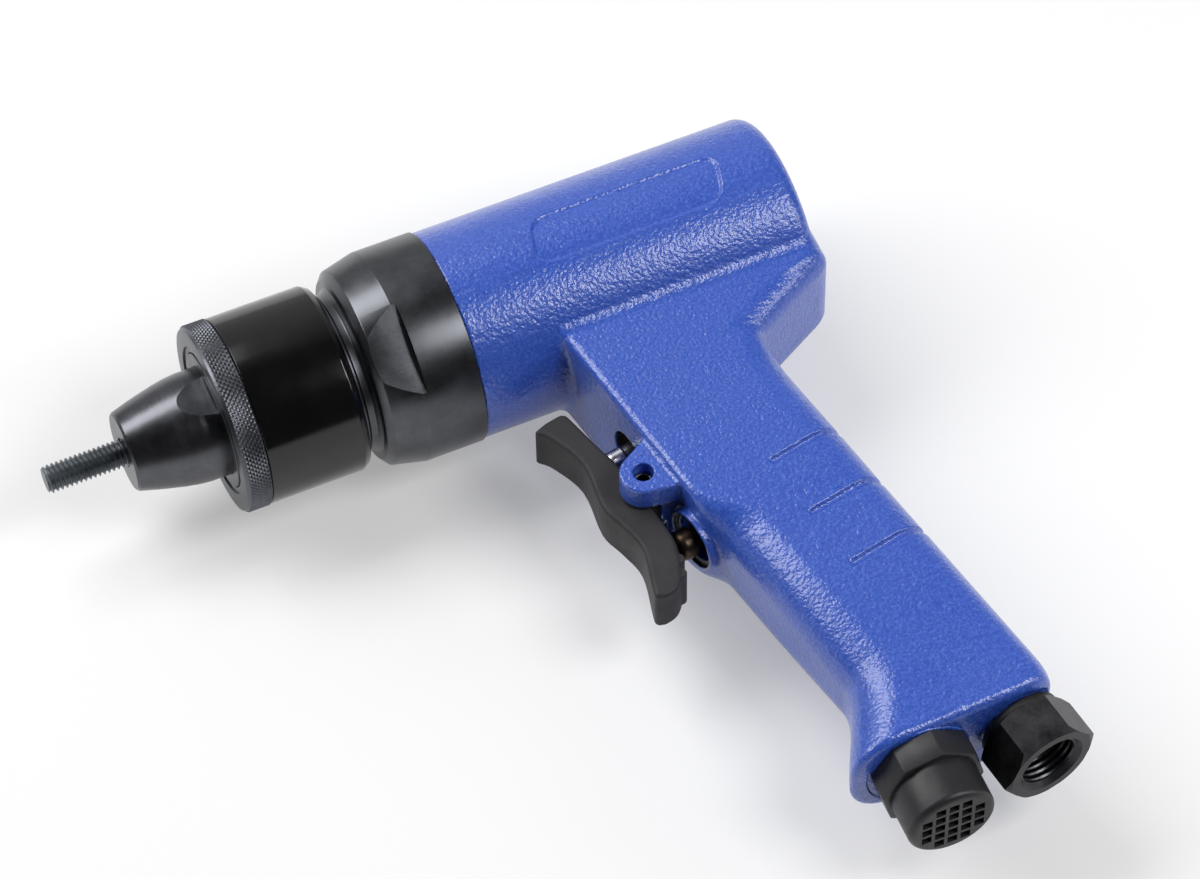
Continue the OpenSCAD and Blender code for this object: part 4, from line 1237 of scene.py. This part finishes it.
def seen_directly(tree):
    """One for camera, mirror and glass rays, else zero."""
    path = tree.nodes.new("ShaderNodeLightPath")
    total = path.outputs["Is Camera Ray"]
    for name in ("Is Glossy Ray", "Is Transmission Ray"):
        node = tree.nodes.new("ShaderNodeMath")
        node.operation = "MAXIMUM"
        tree.links.new(total, node.inputs[0])
        tree.links.new(path.outputs[name], node.inputs[1])
        total = node.outputs[0]
    return total


def make_floor():
    """Pale matt table. A share of its white is its own, where it is seen directly."""
    corners = ((-1, -1), (1, -1), (1, 1), (-1, 1))
    mesh = bpy.data.meshes.new("floor")
    mesh.from_pydata([(x * FLOOR_HALF, y * FLOOR_HALF, FLOOR_Z) for x, y in corners], [],
                     [(0, 1, 2, 3)])
    floor = place_object("floor", mesh)
    material = bpy.data.materials.new("floor")
    material.use_nodes = True
    tree = material.node_tree
    tree.nodes.clear()
    out = tree.nodes.new("ShaderNodeOutputMaterial")
    diffuse = tree.nodes.new("ShaderNodeBsdfDiffuse")
    diffuse.inputs["Color"].default_value = (FLOOR_WHITE, FLOOR_WHITE, FLOOR_WHITE, 1)
    glow = tree.nodes.new("ShaderNodeEmission")
    glow.inputs["Color"].default_value = (1, 1, 1, 1)
    glow.inputs["Strength"].default_value = 1.0
    mix = tree.nodes.new("ShaderNodeMixShader")
    share = tree.nodes.new("ShaderNodeMath")
    share.operation = "MULTIPLY"
    share.inputs[1].default_value = FLOOR_GLOW
    for source, target in ((seen_directly(tree), share.inputs[0]), (share.outputs[0], mix.inputs[0]),
                           (diffuse.outputs[0], mix.inputs[1]), (glow.outputs[0], mix.inputs[2]),
                           (mix.outputs[0], out.inputs["Surface"])):
        tree.links.new(source, target)
    mesh.materials.append(material)


def make_world():
    """Soft surroundings, brighter on the far side of the table."""
    world = bpy.data.worlds.new("studio")
    bpy.context.scene.world = world
    world.use_nodes = True
    tree = world.node_tree
    back = tree.nodes["Background"]
    back.inputs["Color"].default_value = (1, 1, 1, 1)
    place = tree.nodes.new("ShaderNodeTexCoord")
    split = tree.nodes.new("ShaderNodeSeparateXYZ")
    tree.links.new(place.outputs["Generated"], split.inputs["Vector"])
    surround = tree.nodes.new("ShaderNodeMapRange")
    tree.links.new(split.outputs["Y"], surround.inputs["Value"])
    strength = set_range(surround, *WORLD_TURN, WORLD_NEAR, WORLD_FAR)
    tree.links.new(strength, back.inputs["Strength"])


def softbox(name, direction, size, radiance, aim):
    """A rectangular lamp in a direction from the point it lights, its width along the barrel."""
    light = bpy.data.lights.new(name, "AREA")
    light.shape = "RECTANGLE"
    light.size, light.size_y = size
    light.energy = radiance * math.pi * size[0] * size[1]
    obj = place_object(name, light)
    back = np.array(direction, float)
    back /= np.linalg.norm(back)
    right = np.array((1.0, 0, 0)) - back[0] * back
    right /= np.linalg.norm(right)
    place = np.array(aim) + LAMP_DISTANCE * back
    place_along(obj, right, np.cross(back, right), back, place)


def make_camera():
    camera = bpy.data.cameras.new("camera")
    camera.lens, camera.sensor_width, camera.sensor_fit = LENS, SENSOR, "HORIZONTAL"
    camera.clip_start, camera.clip_end = 0.05, 20
    obj = place_object("camera", camera)
    up, back = ([-v for v in axis] for axis in (CAMERA_DOWN, CAMERA_VIEW))
    place_along(obj, CAMERA_RIGHT, up, back, CAMERA_PLACE)
    bpy.context.scene.camera = obj


make_floor()
make_world()
for name, lamp in LAMPS.items():
    softbox(name, *lamp)
make_camera()

bpy.context.scene.view_settings.view_transform = "Standard"
